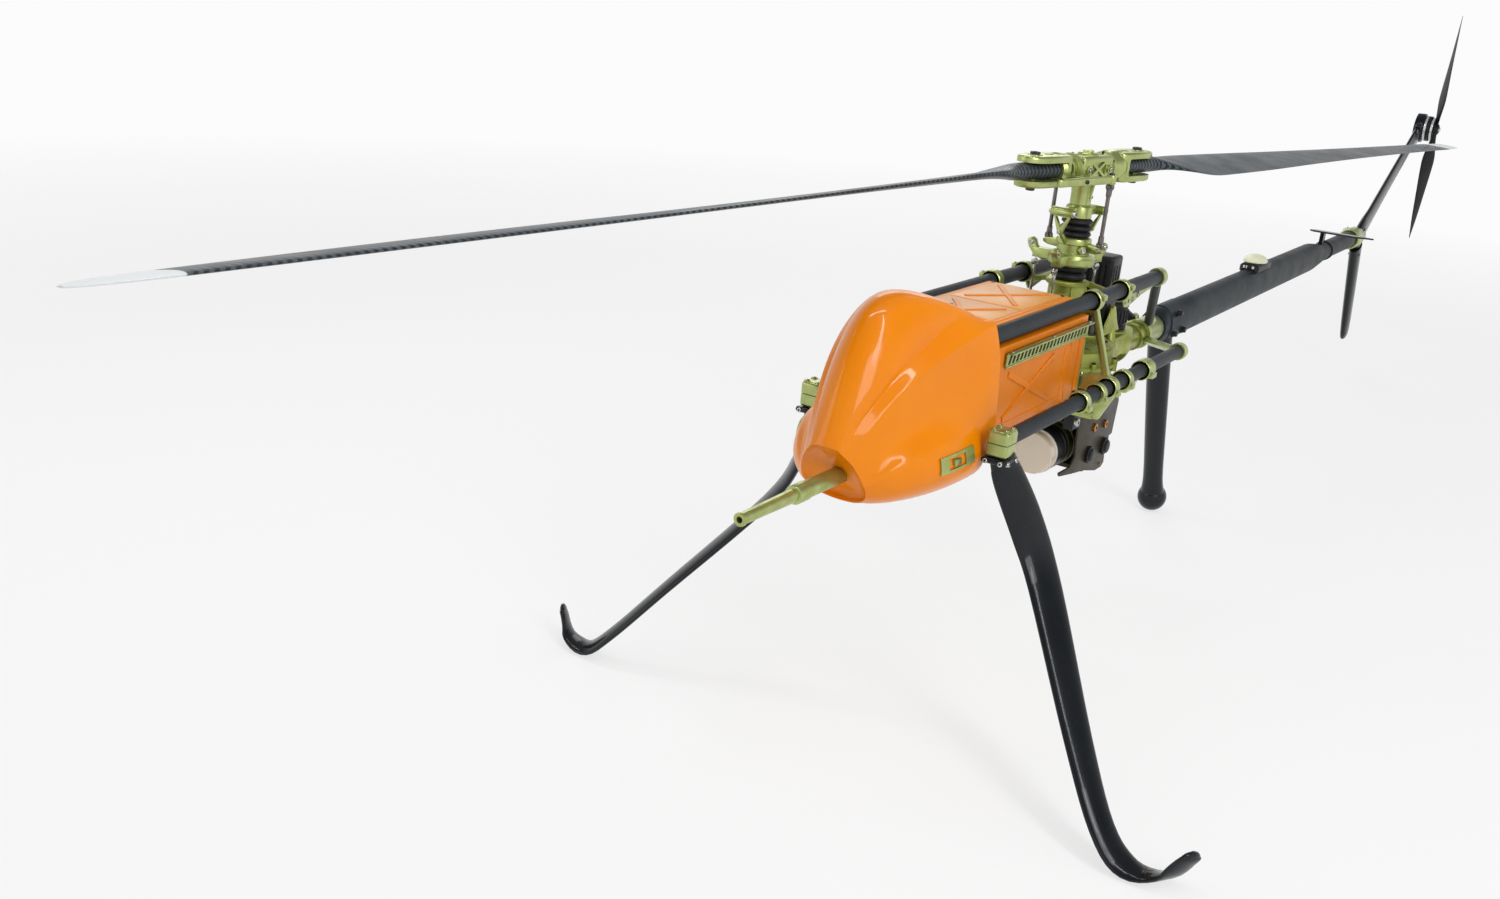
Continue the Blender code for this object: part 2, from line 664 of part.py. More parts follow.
def build_mast_housing():
    """The tower around the mast, held to both upper tubes."""
    foot = HUB_HEIGHT - GEARBOX_TOP_DROP + GAP
    top = HUB_HEIGHT - 0.1905
    y = 0.019
    item = cylinder("mast_housing", (0, 0, foot), (0, 0, top), HOUSING_RADIUS)
    join(item, cylinder("flange", (0, 0, foot), (0, 0, foot + 0.006), HOUSING_RADIUS + 0.012))
    join(item, cylinder("rim", (0, 0, top - 0.006), (0, 0, top), HOUSING_RADIUS + 0.003))
    join(item, box("arm", (-UPPER_SPREAD + 0.004, y - 0.006, UPPER_Z - 0.012),
                   (UPPER_SPREAD - 0.004, y + 0.006, UPPER_Z - 0.004)))
    for sign in SIDES.values():
        join(item, ring_on_tube("ring", y, sign * UPPER_SPREAD, UPPER_Z, UPPER_RADIUS, 0.016))
    cut(item, cylinder("bore", (0, 0, foot + 0.020), (0, 0, top + 0.01), SHAFT_RADIUS + 0.003))
    bore_rings(item, y - 0.03, y + 0.03, lower=False)
    finish(item, "green_anodised")
    build_servos(foot)


def servo_places():
    radius = 0.062
    return [(name, Vector((radius * math.cos(math.radians(angle)), radius * math.sin(math.radians(angle)), 0)))
            for name, angle in (("front", -90), ("rear", 68), ("starboard", 180))]


def build_servos(foot):
    """Three servos at the foot of the housing, each with the rod that holds the lower star."""
    for name, place in servo_places():
        half = Vector((0.013, 0.013, 0))
        top = HUB_HEIGHT - 0.228
        servo = box(f"servo_{name}", place - half + Vector((0, 0, foot)), place + half + Vector((0, 0, top)))
        base = place + Vector((0, 0, top - 0.002))
        tip = place + Vector((0, 0, HUB_HEIGHT - 0.163 - GAP))
        join(servo, cylinder("rod", base, tip, 0.0028, sides=8))
        join(servo, cylinder("foot", base, base + Vector((0, 0, 0.012)), 0.0055, sides=8))
        join(servo, cylinder("head", tip - Vector((0, 0, 0.010)), tip, 0.0055, sides=8))
        finish(servo, "black_plastic")


def build_lower_star():
    """The part of the swash plate that stands still, and the bellows below it."""
    top = HUB_HEIGHT - 0.147
    bottom = HUB_HEIGHT - 0.163
    bore = SHAFT_RADIUS + 0.003
    item = cylinder("swash_lower", (0, 0, bottom), (0, 0, top), 0.034)
    for _, place in servo_places():
        across = Vector((-place.y, place.x, 0)).normalized() * 0.008
        rings = [[place * share + across * sign + Vector((0, 0, z))
                  for sign, z in ((-1, bottom), (1, bottom), (1, top), (-1, top))]
                 for share in (0.3, 1.05)]
        join(item, loft("arm", rings))
    cut(item, cylinder("bore", (0, 0, bottom - 0.01), (0, 0, top + 0.01), bore))
    finish(item, "green_anodised")
    low = HUB_HEIGHT - 0.1905 + GAP
    profile = pleats(bore, 0.026, 0.021, bottom - GAP, low, 2)
    finish(turned("bellows_lower", profile, Vector((0, 0, 0))), "rubber")


def pleats(bore, crest, root, top, bottom, count):
    """A bellows profile, from its top down the outer side."""
    step = (top - bottom) / count
    profile = []
    for i in range(count):
        profile.append((root, top - i * step))
        profile.append((crest, top - (i + 0.35) * step))
        profile.append((crest, top - (i + 0.65) * step))
    profile += [(root, bottom), (bore, bottom), (bore, top)]
    return profile


def build_spider():
    """The collar on the tail spigot, with arms that sweep forward to the four tube ends."""
    front = Vector((0, COLLAR_FRONT_Y, BOOM_Z))
    rear = Vector((0, BOOM_START_Y - 0.005, BOOM_Z))
    item = cylinder("rear_spider", front, rear, COLLAR_RADIUS)
    join(item, cylinder("flange", front, front + Vector((0, 0.012, 0)), COLLAR_RADIUS + 0.0025))
    for sign in SIDES.values():
        cap = Vector((sign * LOWER_SPREAD, FRAME_REAR_Y, LOWER_Z))
        inner = front + Vector((sign * 0.018, 0.012, -0.010))
        outer = cap + Vector((-sign * 0.006, 0.004, 0))
        arm = sweep("arm", [(inner, 0.008, 0.014), (outer, 0.007, 0.010)], Vector((0, 0, 1)), 4)
        join(item, arm)
        join(item, cylinder("cap", cap + Vector((0, -0.006, 0)), cap + Vector((0, 0.010, 0)), LOWER_RADIUS + 0.003,
                            sides=TUBE_SIDES))
        cut(item, cylinder("seat", cap - Vector((0, 0.02, 0)), cap + Vector((0, GAP, 0)), LOWER_RADIUS + GAP,
                           sides=TUBE_SIDES))
        lug = front + Vector((sign * 0.017, 0.022, 0.026))
        join(item, cylinder("lug", lug - Vector((0, 0.010, 0)), lug + Vector((0, 0.010, 0)), 0.008, sides=12))
    middle = (front + rear) / 2
    cut(item, cylinder("bore", middle - Vector((0, 0.1, 0)), middle + Vector((0, 0.1, 0)), SPIGOT_RADIUS + GAP))
    finish(item, "green_anodised")
    for side, sign in SIDES.items():
        cap = Vector((sign * UPPER_SPREAD, FRAME_REAR_Y, UPPER_Z))
        lug = front + Vector((sign * 0.017, 0.012 - GAP, 0.026))
        strut = cylinder(f"rear_strut_{side}", cap + Vector((0, 0.004, 0)), lug, 0.0085, sides=12)
        join(strut, cylinder("cap", cap + Vector((0, -0.006, 0)), cap + Vector((0, 0.010, 0)),
                             UPPER_RADIUS + 0.003, sides=TUBE_SIDES))
        cut(strut, cylinder("seat", cap - Vector((0, 0.03, 0)), cap + Vector((0, GAP, 0)),
                            UPPER_RADIUS + GAP, sides=TUBE_SIDES))
        cut(strut, box("back", (-0.3, lug.y, 0), (0.3, lug.y + 0.1, 1)))
        cut(strut, cylinder("collar", front - Vector((0, 0.1, 0)), rear, COLLAR_RADIUS + 0.0025 + GAP))
        finish(strut, "carbon")


def build_boom():
    """The tall oval boom with its front collar, its neck and the round sleeve behind."""
    along, up = Vector((1, 0, 0)), Vector((0, 0, 1))
    stations = [(BOOM_START_Y, 0.028, 0.030), (BOOM_START_Y + 0.02, BOOM_WIDTH / 2, BOOM_HEIGHT / 2),
                (BOOM_NECK_Y - 0.060, BOOM_WIDTH / 2, BOOM_HEIGHT / 2), (BOOM_NECK_Y, 0.027, 0.030),
                (BOOM_NECK_Y + 0.020, SLEEVE_RADIUS + 0.004, SLEEVE_RADIUS + 0.004)]
    rings = [oval(Vector((0, y, BOOM_Z)), along, up, half_x, half_z, 16) for y, half_x, half_z in stations]
    boom = loft("tail_boom", rings)
    start = BOOM_NECK_Y + 0.020
    join(boom, cylinder("sleeve", (0, start - 0.005, BOOM_Z), (0, BOOM_END_Y, BOOM_Z), SLEEVE_RADIUS))
    join(boom, cylinder("ring", (0, start + 0.09, BOOM_Z), (0, start + 0.105, BOOM_Z), SLEEVE_RADIUS + 0.003))
    finish(boom, "carbon")
    clamp = cylinder("boom_clamp", (0, BOOM_END_Y - 0.030, BOOM_Z), (0, BOOM_END_Y + 0.045, BOOM_Z),
                     SLEEVE_RADIUS + 0.006)
    cut(clamp, cylinder("seat", (0, BOOM_END_Y - 0.05, BOOM_Z), (0, BOOM_END_Y + GAP, BOOM_Z),
                        SLEEVE_RADIUS + GAP))
    finish(clamp, "green_anodised")


def build_boom_fittings():
    top = BOOM_Z + BOOM_HEIGHT / 2
    boom_across, up = Vector((1, 0, 0)), Vector((0, 0, 1))
    base = box("gps_base", (-0.022, 1.165, top - 0.010), (0.022, 1.290, top + 0.014))
    soften(base, 0.006)
    body = [oval(Vector((0, y, BOOM_Z)), boom_across, up, BOOM_WIDTH / 2 + GAP, BOOM_HEIGHT / 2 + GAP, 16)
            for y in (1.14, 1.32)]
    cut(base, loft("clear", body))
    finish(base, "green_anodised")
    dome_foot = top + 0.014 + GAP
    profile = [(0, dome_foot + 0.017), (0.010, dome_foot + 0.016), (0.020, dome_foot + 0.012),
               (0.026, dome_foot + 0.005), (0.027, dome_foot), (0, dome_foot)]
    dome = turned("gps_dome", profile, Vector((0, 0, 0)))
    dome.data.transform(Matrix.Diagonal((1, 1.45, 1, 1)))
    dome.data.transform(Matrix.Translation((0, 1.215, 0)))
    finish(dome, "cream")
    ring_top = BOOM_Z + SLEEVE_RADIUS
    y = 1.900
    plate_z = ring_top + 0.032
    frame = Matrix.Translation((0, y, plate_z))
    outline = [(-0.036, -0.003), (-0.024, -0.014), (0.080, -0.016), (0.130, 0.006), (0.088, 0.014), (-0.024, 0.014)]
    item = plate("stabilizer", outline, 0.004, frame)
    pylon = box("pylon", (-0.005, y - 0.014, ring_top - 0.010), (0.005, y + 0.010, plate_z))
    join(item, pylon)
    cut(item, cylinder("clear", (0, y - 0.1, BOOM_Z), (0, y + 0.1, BOOM_Z), SLEEVE_RADIUS + GAP))
    finish(item, "black_gloss")


def build_fins():
    """The strut up to the tail motor and the skid fin below it, both on one root block."""
    root = Vector((0, FIN_ROOT_Y, BOOM_Z))
    motor_centre = Vector((0, TAIL_HUB.y, TAIL_HUB.z))
    side = Vector((1, 0, 0))
    foot = at(0, FIN_FOOT_Y, FIN_FOOT_DROP)
    item = sweep("tail_fin_upper", [(root + Vector((0, -0.01, -0.02)), 0.014, 0.038),
                                    (root.lerp(motor_centre, 0.15) + Vector((0, 0.008, 0)), 0.011, 0.030),
                                    (root.lerp(motor_centre, 0.80), 0.009, 0.028),
                                    (motor_centre - Vector((0, 0.030, 0.012)), 0.012, 0.036)], side)
    join(item, cylinder("pad", motor_centre - side * 0.014, motor_centre + side * 0.014, 0.046))
    join(item, cylinder("plug", (0, BOOM_END_Y + 0.045 + GAP, BOOM_Z), root, SLEEVE_RADIUS, 0.022))
    finish(item, "black_gloss")
    lower_root = root + Vector((0, 0.004, -0.040))
    lower = sweep("tail_fin_lower", [(lower_root, 0.016, 0.036), (lower_root.lerp(foot, 0.5), 0.014, 0.034),
                                     (lower_root.lerp(foot, 0.93), 0.011, 0.031), (foot, 0.008, 0.022)], side)
    block = box("clear", (-0.1, FIN_ROOT_Y - 0.2, BOOM_Z - 0.035), (0.1, FIN_ROOT_Y + 0.3, BOOM_Z + 0.1))
    cut(lower, block)
    spine = box("trim", (-0.1, FIN_ROOT_Y - 0.2, BOOM_Z - 0.2), (0.1, FIN_ROOT_Y + 0.3, BOOM_Z - 0.035 + GAP))
    cut(item, spine)
    finish(lower, "black_gloss")
    motor = cylinder("tail_motor", motor_centre + side * (0.014 + GAP), motor_centre + side * TAIL_MOTOR_END, 0.040)
    finish(motor, "black_plastic")


def build_tail_rotor():
    """The two-blade propeller on the port side of the fin, turning about X."""
    spin = axis_empty("tail_rotor_axis", TAIL_HUB)
    hub_in = TAIL_MOTOR_END + GAP + 0.0005 - TAIL_HUB.x
    hub = cylinder("tail_propeller", (hub_in, 0, 0), (hub_in + 0.010, 0, 0), 0.036, sides=24)
    join(hub, cylinder("boss", (hub_in + 0.008, 0, 0), (hub_in + 0.022, 0, 0), 0.020, 0.016, sides=16))
    join(hub, cylinder("nut", (hub_in + 0.020, 0, 0), (hub_in + 0.028, 0, 0), 0.007, sides=6))
    for sign in (1, -1):
        blade = tail_blade("blade", sign, hub_in + 0.013)
        join(hub, blade)
    finish(hub, "carbon", spin)


def tail_blade(name, sign, x):
    """A twisted, pointed propeller blade along Z."""
    rings = []
    stations = [(0.010, 0.018, 0.008, 34), (0.045, 0.030, 0.008, 32), (0.090, 0.060, 0.006, 28),
                (0.130, 0.064, 0.005, 25), (0.200, 0.054, 0.004, 21), (0.290, 0.034, 0.003, 17),
                (TAIL_RADIUS, 0.004, 0.0012, 14)]
    for radius, chord, thick, twist in stations:
        angle = math.radians(twist)
        across = Vector((-sign * math.sin(angle), math.cos(angle), 0))
        normal = Vector((0, 0, 1)).cross(across)
        rings.append(oval(Vector((x, 0, sign * radius)), across, normal, chord / 2, thick / 2, 8))
    return loft(name, rings)


def build_rear_leg():
    """The broad airfoil leg below the front of the boom, with its ball foot."""
    top = Vector((0, BOOM_START_Y + 0.055, BOOM_Z))
    centre = Vector((0, REAR_FOOT_Y, BALL_RADIUS))
    across = Vector((1, 0, 0))
    item = sweep("rear_leg", [(top, 0.024, 0.028), (top.lerp(centre, 0.2), 0.024, 0.022),
                              (top.lerp(centre, 0.80), 0.021, 0.018), (centre, 0.025, 0.023)], across)
    join(item, ball("foot", centre, BALL_RADIUS))
    body = [oval(Vector((0, y, BOOM_Z)), across, Vector((0, 0, 1)), BOOM_WIDTH / 2 + GAP, BOOM_HEIGHT / 2 + GAP, 16)
            for y in (BOOM_START_Y + 0.0195, BOOM_START_Y + 0.3)]
    shell = loft("clear", body)
    cut(item, shell)
    cut(item, box("above", (-0.1, 0.3, BOOM_Z - 0.005), (0.1, 1.0, BOOM_Z + 0.3)))
    finish(item, "black_gloss")


def build_front_legs():
    """Each front leg is a flat bar that drops from its clamp, bows outwards and ends in an upturned foot.

    A row of LEG_LINE is the bar's centre, as x, y and drop, then its half width and its half thickness.
    """
    for side, sign in SIDES.items():
        clamp = clamp_block(f"leg_clamp_{side}", sign)
        cut(clamp, tube_bore(LEG_CLAMP_Y - 0.05, LEG_CLAMP_Y + 0.05, sign * LOWER_SPREAD, LOWER_Z, LOWER_RADIUS))
        cut(clamp, box("slot", (sign * LOWER_SPREAD + sign * 0.005 - 0.0125, LEG_CLAMP_Y - 0.03, LOWER_Z + 0.0),
                       (sign * LOWER_SPREAD + sign * 0.005 + 0.0125, LEG_CLAMP_Y + 0.03, LOWER_Z + 0.0015)))
        finish(clamp, "green_anodised")
        stations = []
        for x, y, drop, broad, thin in smooth_line(LEG_LINE, 2):
            point = at(sign * x, y, drop)
            point.z = max(point.z, thin)
            stations.append((point, broad, thin))
        leg = sweep(f"front_leg_{side}", stations, Vector((sign * 0.56, 0.83, 0)))
        cut(leg, box("above", (-0.3, -0.7, LOWER_Z - 0.0205 - GAP), (0.3, -0.4, LOWER_Z + 0.1)))
        finish(leg, "black_gloss")


def build_payload():
    """The camera pod below the frame, held by a hanger with a ring on each lower tube."""
    top = HUB_HEIGHT - 0.380
    y = -0.080
    hanger = box("payload_hanger", (-0.052, y - 0.012, top), (0.052, 0.185, top + 0.006))
    join(hanger, box("bar", (-0.110, y - 0.012, top), (0.110, y + 0.012, top + 0.010)))
    for sign in SIDES.values():
        frame = Matrix.Translation((0, y, 0)) @ Matrix.Rotation(math.pi / 2, 4, "X")
        outline = [(sign * 0.095, top), (sign * 0.118, top), (sign * (LOWER_SPREAD + 0.004), LOWER_Z - 0.006),
                   (sign * (LOWER_SPREAD - 0.010), LOWER_Z + 0.004), (sign * 0.098, top + 0.010)]
        join(hanger, plate("arm", outline, 0.012, frame))
        join(hanger, ring_on_tube("ring", y, sign * LOWER_SPREAD, LOWER_Z, LOWER_RADIUS, 0.016))
    bore_rings(hanger, y - 0.03, y + 0.03, upper=False)
    finish(hanger, "green_anodised")
    plate_top = top - GAP
    frame = Matrix(((0, 0, 1, 0), (1, 0, 0, 0), (0, 1, 0, 0), (0, 0, 0, 1)))
    low = HUB_HEIGHT - 0.535
    outline = [(0.050, plate_top), (0.215, plate_top), (0.205, low + 0.035), (0.170, low), (0.105, low),
               (0.060, low + 0.030)]
    pod = plate("payload_frame", outline, 0.104, frame)
    cut(pod, box("inside", (-0.048, 0.0, low + 0.012), (0.048, 0.195, plate_top - 0.004)))
    finish(pod, "payload_brown")
    axis_z = HUB_HEIGHT - 0.478
    barrel = cylinder("payload_barrel", (0, -0.018, axis_z), (0, 0.195 - GAP, axis_z), 0.039)
    finish(barrel, "black_plastic")
    window = cylinder("payload_window", (0, -0.040, axis_z), (0, -0.018 - GAP, axis_z), 0.037)
    finish(window, "lens")


def build_rotor():
    """Everything that turns with the mast, modelled about its own origin with blade a forward."""
    spin = axis_empty("main_rotor_axis", (0, 0, HUB_HEIGHT), (0, 0, ROTOR_AZIMUTH))
    shaft_foot = -0.258
    shaft = cylinder("rotor_shaft", (0, 0, shaft_foot), (0, 0, 0.018), SHAFT_RADIUS)
    finish(shaft, "steel", spin)
    build_yoke(spin)
    for name, turn in (("a", 0.0), ("b", math.pi)):
        build_grip(name, turn, spin)
        build_blade(name, turn, spin)
        build_link(name, turn, spin)
    swash = cylinder("swash_upper", (0, 0, -0.1462), (0, 0, -0.1185), 0.027)
    for sign in (1, -1):
        join(swash, box("ear", (sign * 0.020, -0.006, -0.139), (sign * 0.056, 0.006, -0.129)))
    cut(swash, cylinder("bore", (0, 0, -0.2), (0, 0, 0), SHAFT_RADIUS + GAP))
    finish(swash, "green_anodised", spin)
    boot = turned("bellows_upper", pleats(SHAFT_RADIUS + GAP, 0.023, 0.0165, -0.0803, -0.1182, 3), Vector((0, 0, 0)))
    finish(boot, "rubber", spin)


def build_yoke(spin):
    item = box("hub_yoke", (-0.024, -0.045, -0.021), (0.024, 0.045, 0.021))
    soften(item, 0.006)
    join(item, cylinder("block", (0, 0, -0.080), (0, 0, -0.018), 0.0165))
    join(item, cylinder("collar", (0, 0, -0.080), (0, 0, -0.062), 0.021))
    join(item, cylinder("cap", (0, 0, 0.018), (0, 0, 0.026), 0.016, 0.012))
    for sign in (1, -1):
        join(item, box("web", (-0.007, sign * 0.015, -0.075), (0.007, sign * 0.046, -0.063)))
        join(item, cylinder("barrel", (-0.020, sign * 0.047, -0.069), (0.020, sign * 0.047, -0.069), 0.0065, sides=14))
        frame = Matrix.Translation((0, sign * 0.047, 0)) @ Matrix.Rotation(math.pi / 2, 4, "X")
        arm = plate("scissor", [(-0.019, -0.069), (0.019, -0.069), (0.004, -0.112), (-0.004, -0.112)], 0.006, frame)
        cut(arm, plate("window", [(-0.010, -0.077), (0.010, -0.077), (0.0, -0.098)], 0.02, frame))
        join(item, arm)
    cut(item, cylinder("bore", (0, 0, -0.1), (0, 0, 0.018 + GAP), SHAFT_RADIUS + GAP))
    finish(item, "green_anodised", spin)


def build_grip(name, turn, spin):
    """A fork around the blade root, its bolt, and the pitch arm on the leading side."""
    item = cylinder(f"blade_grip_{name}", (0, -0.0453, 0), (0, -0.090, 0), 0.020)
    fork = [(-0.025, -0.078), (0.025, -0.078), (0.025, -0.155), (0.017, -0.176), (0.006, -0.184),
            (-0.006, -0.184), (-0.017, -0.176), (-0.025, -0.155)]
    join(item, plate("fork", fork, 0.043, Matrix.Identity(4)))
    cut(item, box("slot", (-0.03, -0.200, -0.0140), (0.03, -0.092, 0.0140)))
    join(item, cylinder("bolt", (0, -0.153, -0.029), (0, -0.153, 0.027), 0.0050, sides=16))
    join(item, cylinder("head", (0, -0.153, 0.021), (0, -0.153, 0.027), 0.0095, sides=16))
    join(item, cylinder("nut", (0, -0.153, -0.029), (0, -0.153, -0.021), 0.0085, sides=6))
    join(item, box("web", (0.015, -0.090, -0.018), (0.052, -0.074, -0.006)))
    join(item, box("arm", (0.044, -0.150, -0.018), (0.054, 0.010, -0.006)))
    item.data.transform(Matrix.Rotation(turn, 4, "Z"))
    finish(item, "green_anodised", spin)


def build_link(name, turn, spin):
    """A steel rod from the end of the pitch arm down to the upper swash plate."""
    top = Vector((0.049, 0.0, -0.018 - GAP))
    bottom = Vector((0.049, 0.0, -0.129 + GAP))
    item = cylinder(f"pitch_link_{name}", bottom, top, 0.0026, sides=10)
    join(item, cylinder("upper_end", top - Vector((0, 0, 0.011)), top, 0.0055, sides=12))
    join(item, cylinder("lower_end", bottom, bottom + Vector((0, 0, 0.011)), 0.0055, sides=12))
    item.data.transform(Matrix.Rotation(turn, 4, "Z"))
    finish(item, "steel", spin)


def blade_ring(radius, chord, thick, share, pitch, flap):
    """One blade section. share runs from 0 at the oval root to 1 at the airfoil."""
    points = []
    count = 12
    for i in range(count):
        angle = 2 * math.pi * i / count
        along = 0.5 * math.cos(angle)
        position = 0.5 - along
        foil = 2.6 * (math.sqrt(position) - position) if position > 0 else 0
        height = (1 - share) * abs(math.sin(angle)) + share * max(foil, 0.04 * (position > 0.5))
        sign = 1 if math.sin(angle) >= 0 else -1
        flat = 0 if abs(math.sin(angle)) < 0.001 else 1
        x = chord * (along - 0.22 * share)
        z = sign * flat * thick / 2 * height
        points.append(Vector((x, -radius, z)))
    lift = flap * max(0, radius - 0.2)
    turn = Matrix.Rotation(-math.radians(pitch) * share, 3, "Y")
    return [turn @ Vector((point.x, 0, point.z)) + Vector((0, point.y, lift)) for point in points]


def build_blade(name, turn, spin):
    """A carbon blade, from the square plug in its fork to the tapered tip, which is white from edge on."""
    edge = TIP_SHARE * ROTOR_RADIUS
    chord = BLADE_CHORD
    stations = [(0.0935, 0.036, 0.027, 0, 0), (0.196, 0.034, 0.026, 0, 0), (0.226, 0.052, 0.024, 0.4, 0),
                (0.262, 0.090, 0.019, 0.85, 0), (0.300, chord * 0.98, 0.016, 1, 0), (0.350, chord, 0.015, 1, 0),
                (0.520, chord * 0.97, 0.012, 1, 1.2), (0.720, chord * 0.89, 0.0105, 1, 3.4),
                (1.000, chord * 0.79, 0.0095, 1, 6), (1.300, chord * 0.70, 0.0085, 1, 7.5),
                (edge, chord * 0.64, 0.008, 1, 7.5), (edge + 0.060, chord * 0.56, 0.007, 1, 7.5),
                (ROTOR_RADIUS - 0.012, chord * 0.36, 0.005, 1, 7.5), (ROTOR_RADIUS, chord * 0.16, 0.003, 1, 7.5)]
    rings = [blade_ring(*station, BLADE_PITCH[name] - washout, BLADE_FLAP[name])
             for *station, washout in stations]
    blade = loft(f"blade_{name}", rings)
    cut(blade, cylinder("hole", (0, -0.153, -0.05), (0, -0.153, 0.05), 0.0050 + GAP, sides=16))
    blade.data.transform(Matrix.Rotation(turn, 4, "Z"))
    finish(blade, "carbon", spin)


def centre_footprint():
    for item in helicopter.objects:
        if item.parent is None:
            item.location.y += MAST_Y


clear_scene()
helicopter = make_collection("electric_helicopter")
build_frame()
build_front_bracket()
build_rear_bracket()
build_bulkhead()
build_cowl()
build_latches()
build_probe()
build_batteries()
build_battery_tray()
build_gearbox()
build_mast_housing()
build_lower_star()
build_spider()
build_boom()
build_boom_fittings()
build_fins()
build_tail_rotor()
build_rear_leg()
build_front_legs()
build_payload()
build_rotor()
centre_footprint()
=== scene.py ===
import math

import bmesh
import bpy
from mathutils import Matrix, Vector


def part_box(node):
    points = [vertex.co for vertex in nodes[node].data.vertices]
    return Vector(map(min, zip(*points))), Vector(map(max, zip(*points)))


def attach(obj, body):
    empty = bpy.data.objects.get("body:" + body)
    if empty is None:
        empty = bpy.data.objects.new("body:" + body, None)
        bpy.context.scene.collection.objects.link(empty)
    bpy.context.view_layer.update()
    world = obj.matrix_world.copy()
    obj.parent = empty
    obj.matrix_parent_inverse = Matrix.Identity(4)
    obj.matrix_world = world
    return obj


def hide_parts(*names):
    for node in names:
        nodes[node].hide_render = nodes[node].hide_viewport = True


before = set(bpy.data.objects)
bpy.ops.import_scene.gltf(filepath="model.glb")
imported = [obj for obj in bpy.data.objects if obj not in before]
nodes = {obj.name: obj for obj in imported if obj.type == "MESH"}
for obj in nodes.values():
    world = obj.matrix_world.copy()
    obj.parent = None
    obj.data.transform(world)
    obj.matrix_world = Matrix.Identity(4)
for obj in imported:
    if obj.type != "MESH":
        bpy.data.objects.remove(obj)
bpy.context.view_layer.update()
scene = bpy.context.scene
print("frame loaded,", len(nodes), "nodes")

mastY = -0.755
hubHeight = 0.788
rotorAzimuth = math.radians(-10.5)
sides = {"Port": 1, "Starboard": -1}
tailHub = Vector((0.046, 2.285, 0.744))
rotorPlace = Matrix.Translation((0, mastY, hubHeight)) @ Matrix.Rotation(rotorAzimuth, 4, "Z")


# camera, light and floor

cameraSetup = {
    "place": (0.830, -2.995, 1.035),
    "yaw": 32.25,
    "pitch": 19.6,
    "roll": 5.2,
    "lens": 34.03,
    "shiftY": 0.0207,
}


def addCamera():
    data = bpy.data.cameras.new("photoCamera")
    camera = bpy.data.objects.new("photoCamera", data)
    scene.collection.objects.link(camera)
    data.sensor_width = 36
    data.lens = cameraSetup["lens"]
    data.shift_y = cameraSetup["shiftY"]
    data.clip_end = 200
    turn = Matrix.Rotation(math.radians(cameraSetup["yaw"]), 4, "Z")
    tilt = Matrix.Rotation(math.radians(90 - cameraSetup["pitch"]), 4, "X")
    roll = Matrix.Rotation(math.radians(cameraSetup["roll"]), 4, "Z")
    camera.matrix_world = Matrix.Translation(cameraSetup["place"]) @ turn @ tilt @ roll
    scene.camera = camera


lampSetup = {
    # name: place, aimed at, size across, size along, watts
    "ceilingTubeA": ((1.30, -1.9, 2.9), (0.1, -1.2, 0.6), 0.07, 3.0, 13),
    "ceilingTubeB": ((1.62, -1.9, 2.9), (0.1, -1.2, 0.6), 0.07, 3.0, 13),
    "ceilingTubeC": ((-1.20, -1.2, 2.9), (0, -0.8, 0.6), 0.10, 3.0, 16),
    "broadKey": ((3.4, -3.0, 2.6), (0, -0.8, 0.5), 1.8, 1.8, 50),
    "backFill": ((-2.5, 3.5, 3.0), (0, 1.0, 0.5), 2.5, 2.5, 36),
    "frontFill": ((-2.6, -3.8, 1.8), (0, -1.0, 0.5), 1.6, 1.6, 14),
}


def addLamps():
    for name, (place, aim, across, along, watts) in lampSetup.items():
        data = bpy.data.lights.new(name, "AREA")
        data.shape = "RECTANGLE"
        data.size = across
        data.size_y = along
        data.energy = watts
        lamp = bpy.data.objects.new(name, data)
        scene.collection.objects.link(lamp)
        lamp.location = place
        lamp.rotation_euler = (Vector(aim) - Vector(place)).to_track_quat("-Z", "Y").to_euler()


roomSetup = {"light": 0.46, "pale": 0.97, "ceiling": 0.22, "rampLow": 0.20, "rampHigh": 0.60}
floorSetup = {"radius": 14, "drop": 0.0005, "tone": 0.90, "glow": 0.72, "fadeStart": 2.8, "fadeEnd": 6.0}


def seenRays(tree):
    # 1 for the rays that show the room itself: the camera's, and those off metal or through glass
    path = tree.nodes.new("ShaderNodeLightPath")
    first = tree.nodes.new("ShaderNodeMath")
    first.operation = "MAXIMUM"
    second = tree.nodes.new("ShaderNodeMath")
    second.operation = "MAXIMUM"
    tree.links.new(path.outputs["Is Camera Ray"], first.inputs[0])
    tree.links.new(path.outputs["Is Glossy Ray"], first.inputs[1])
    tree.links.new(first.outputs[0], second.inputs[0])
    tree.links.new(path.outputs["Is Transmission Ray"], second.inputs[1])
    return second.outputs[0]


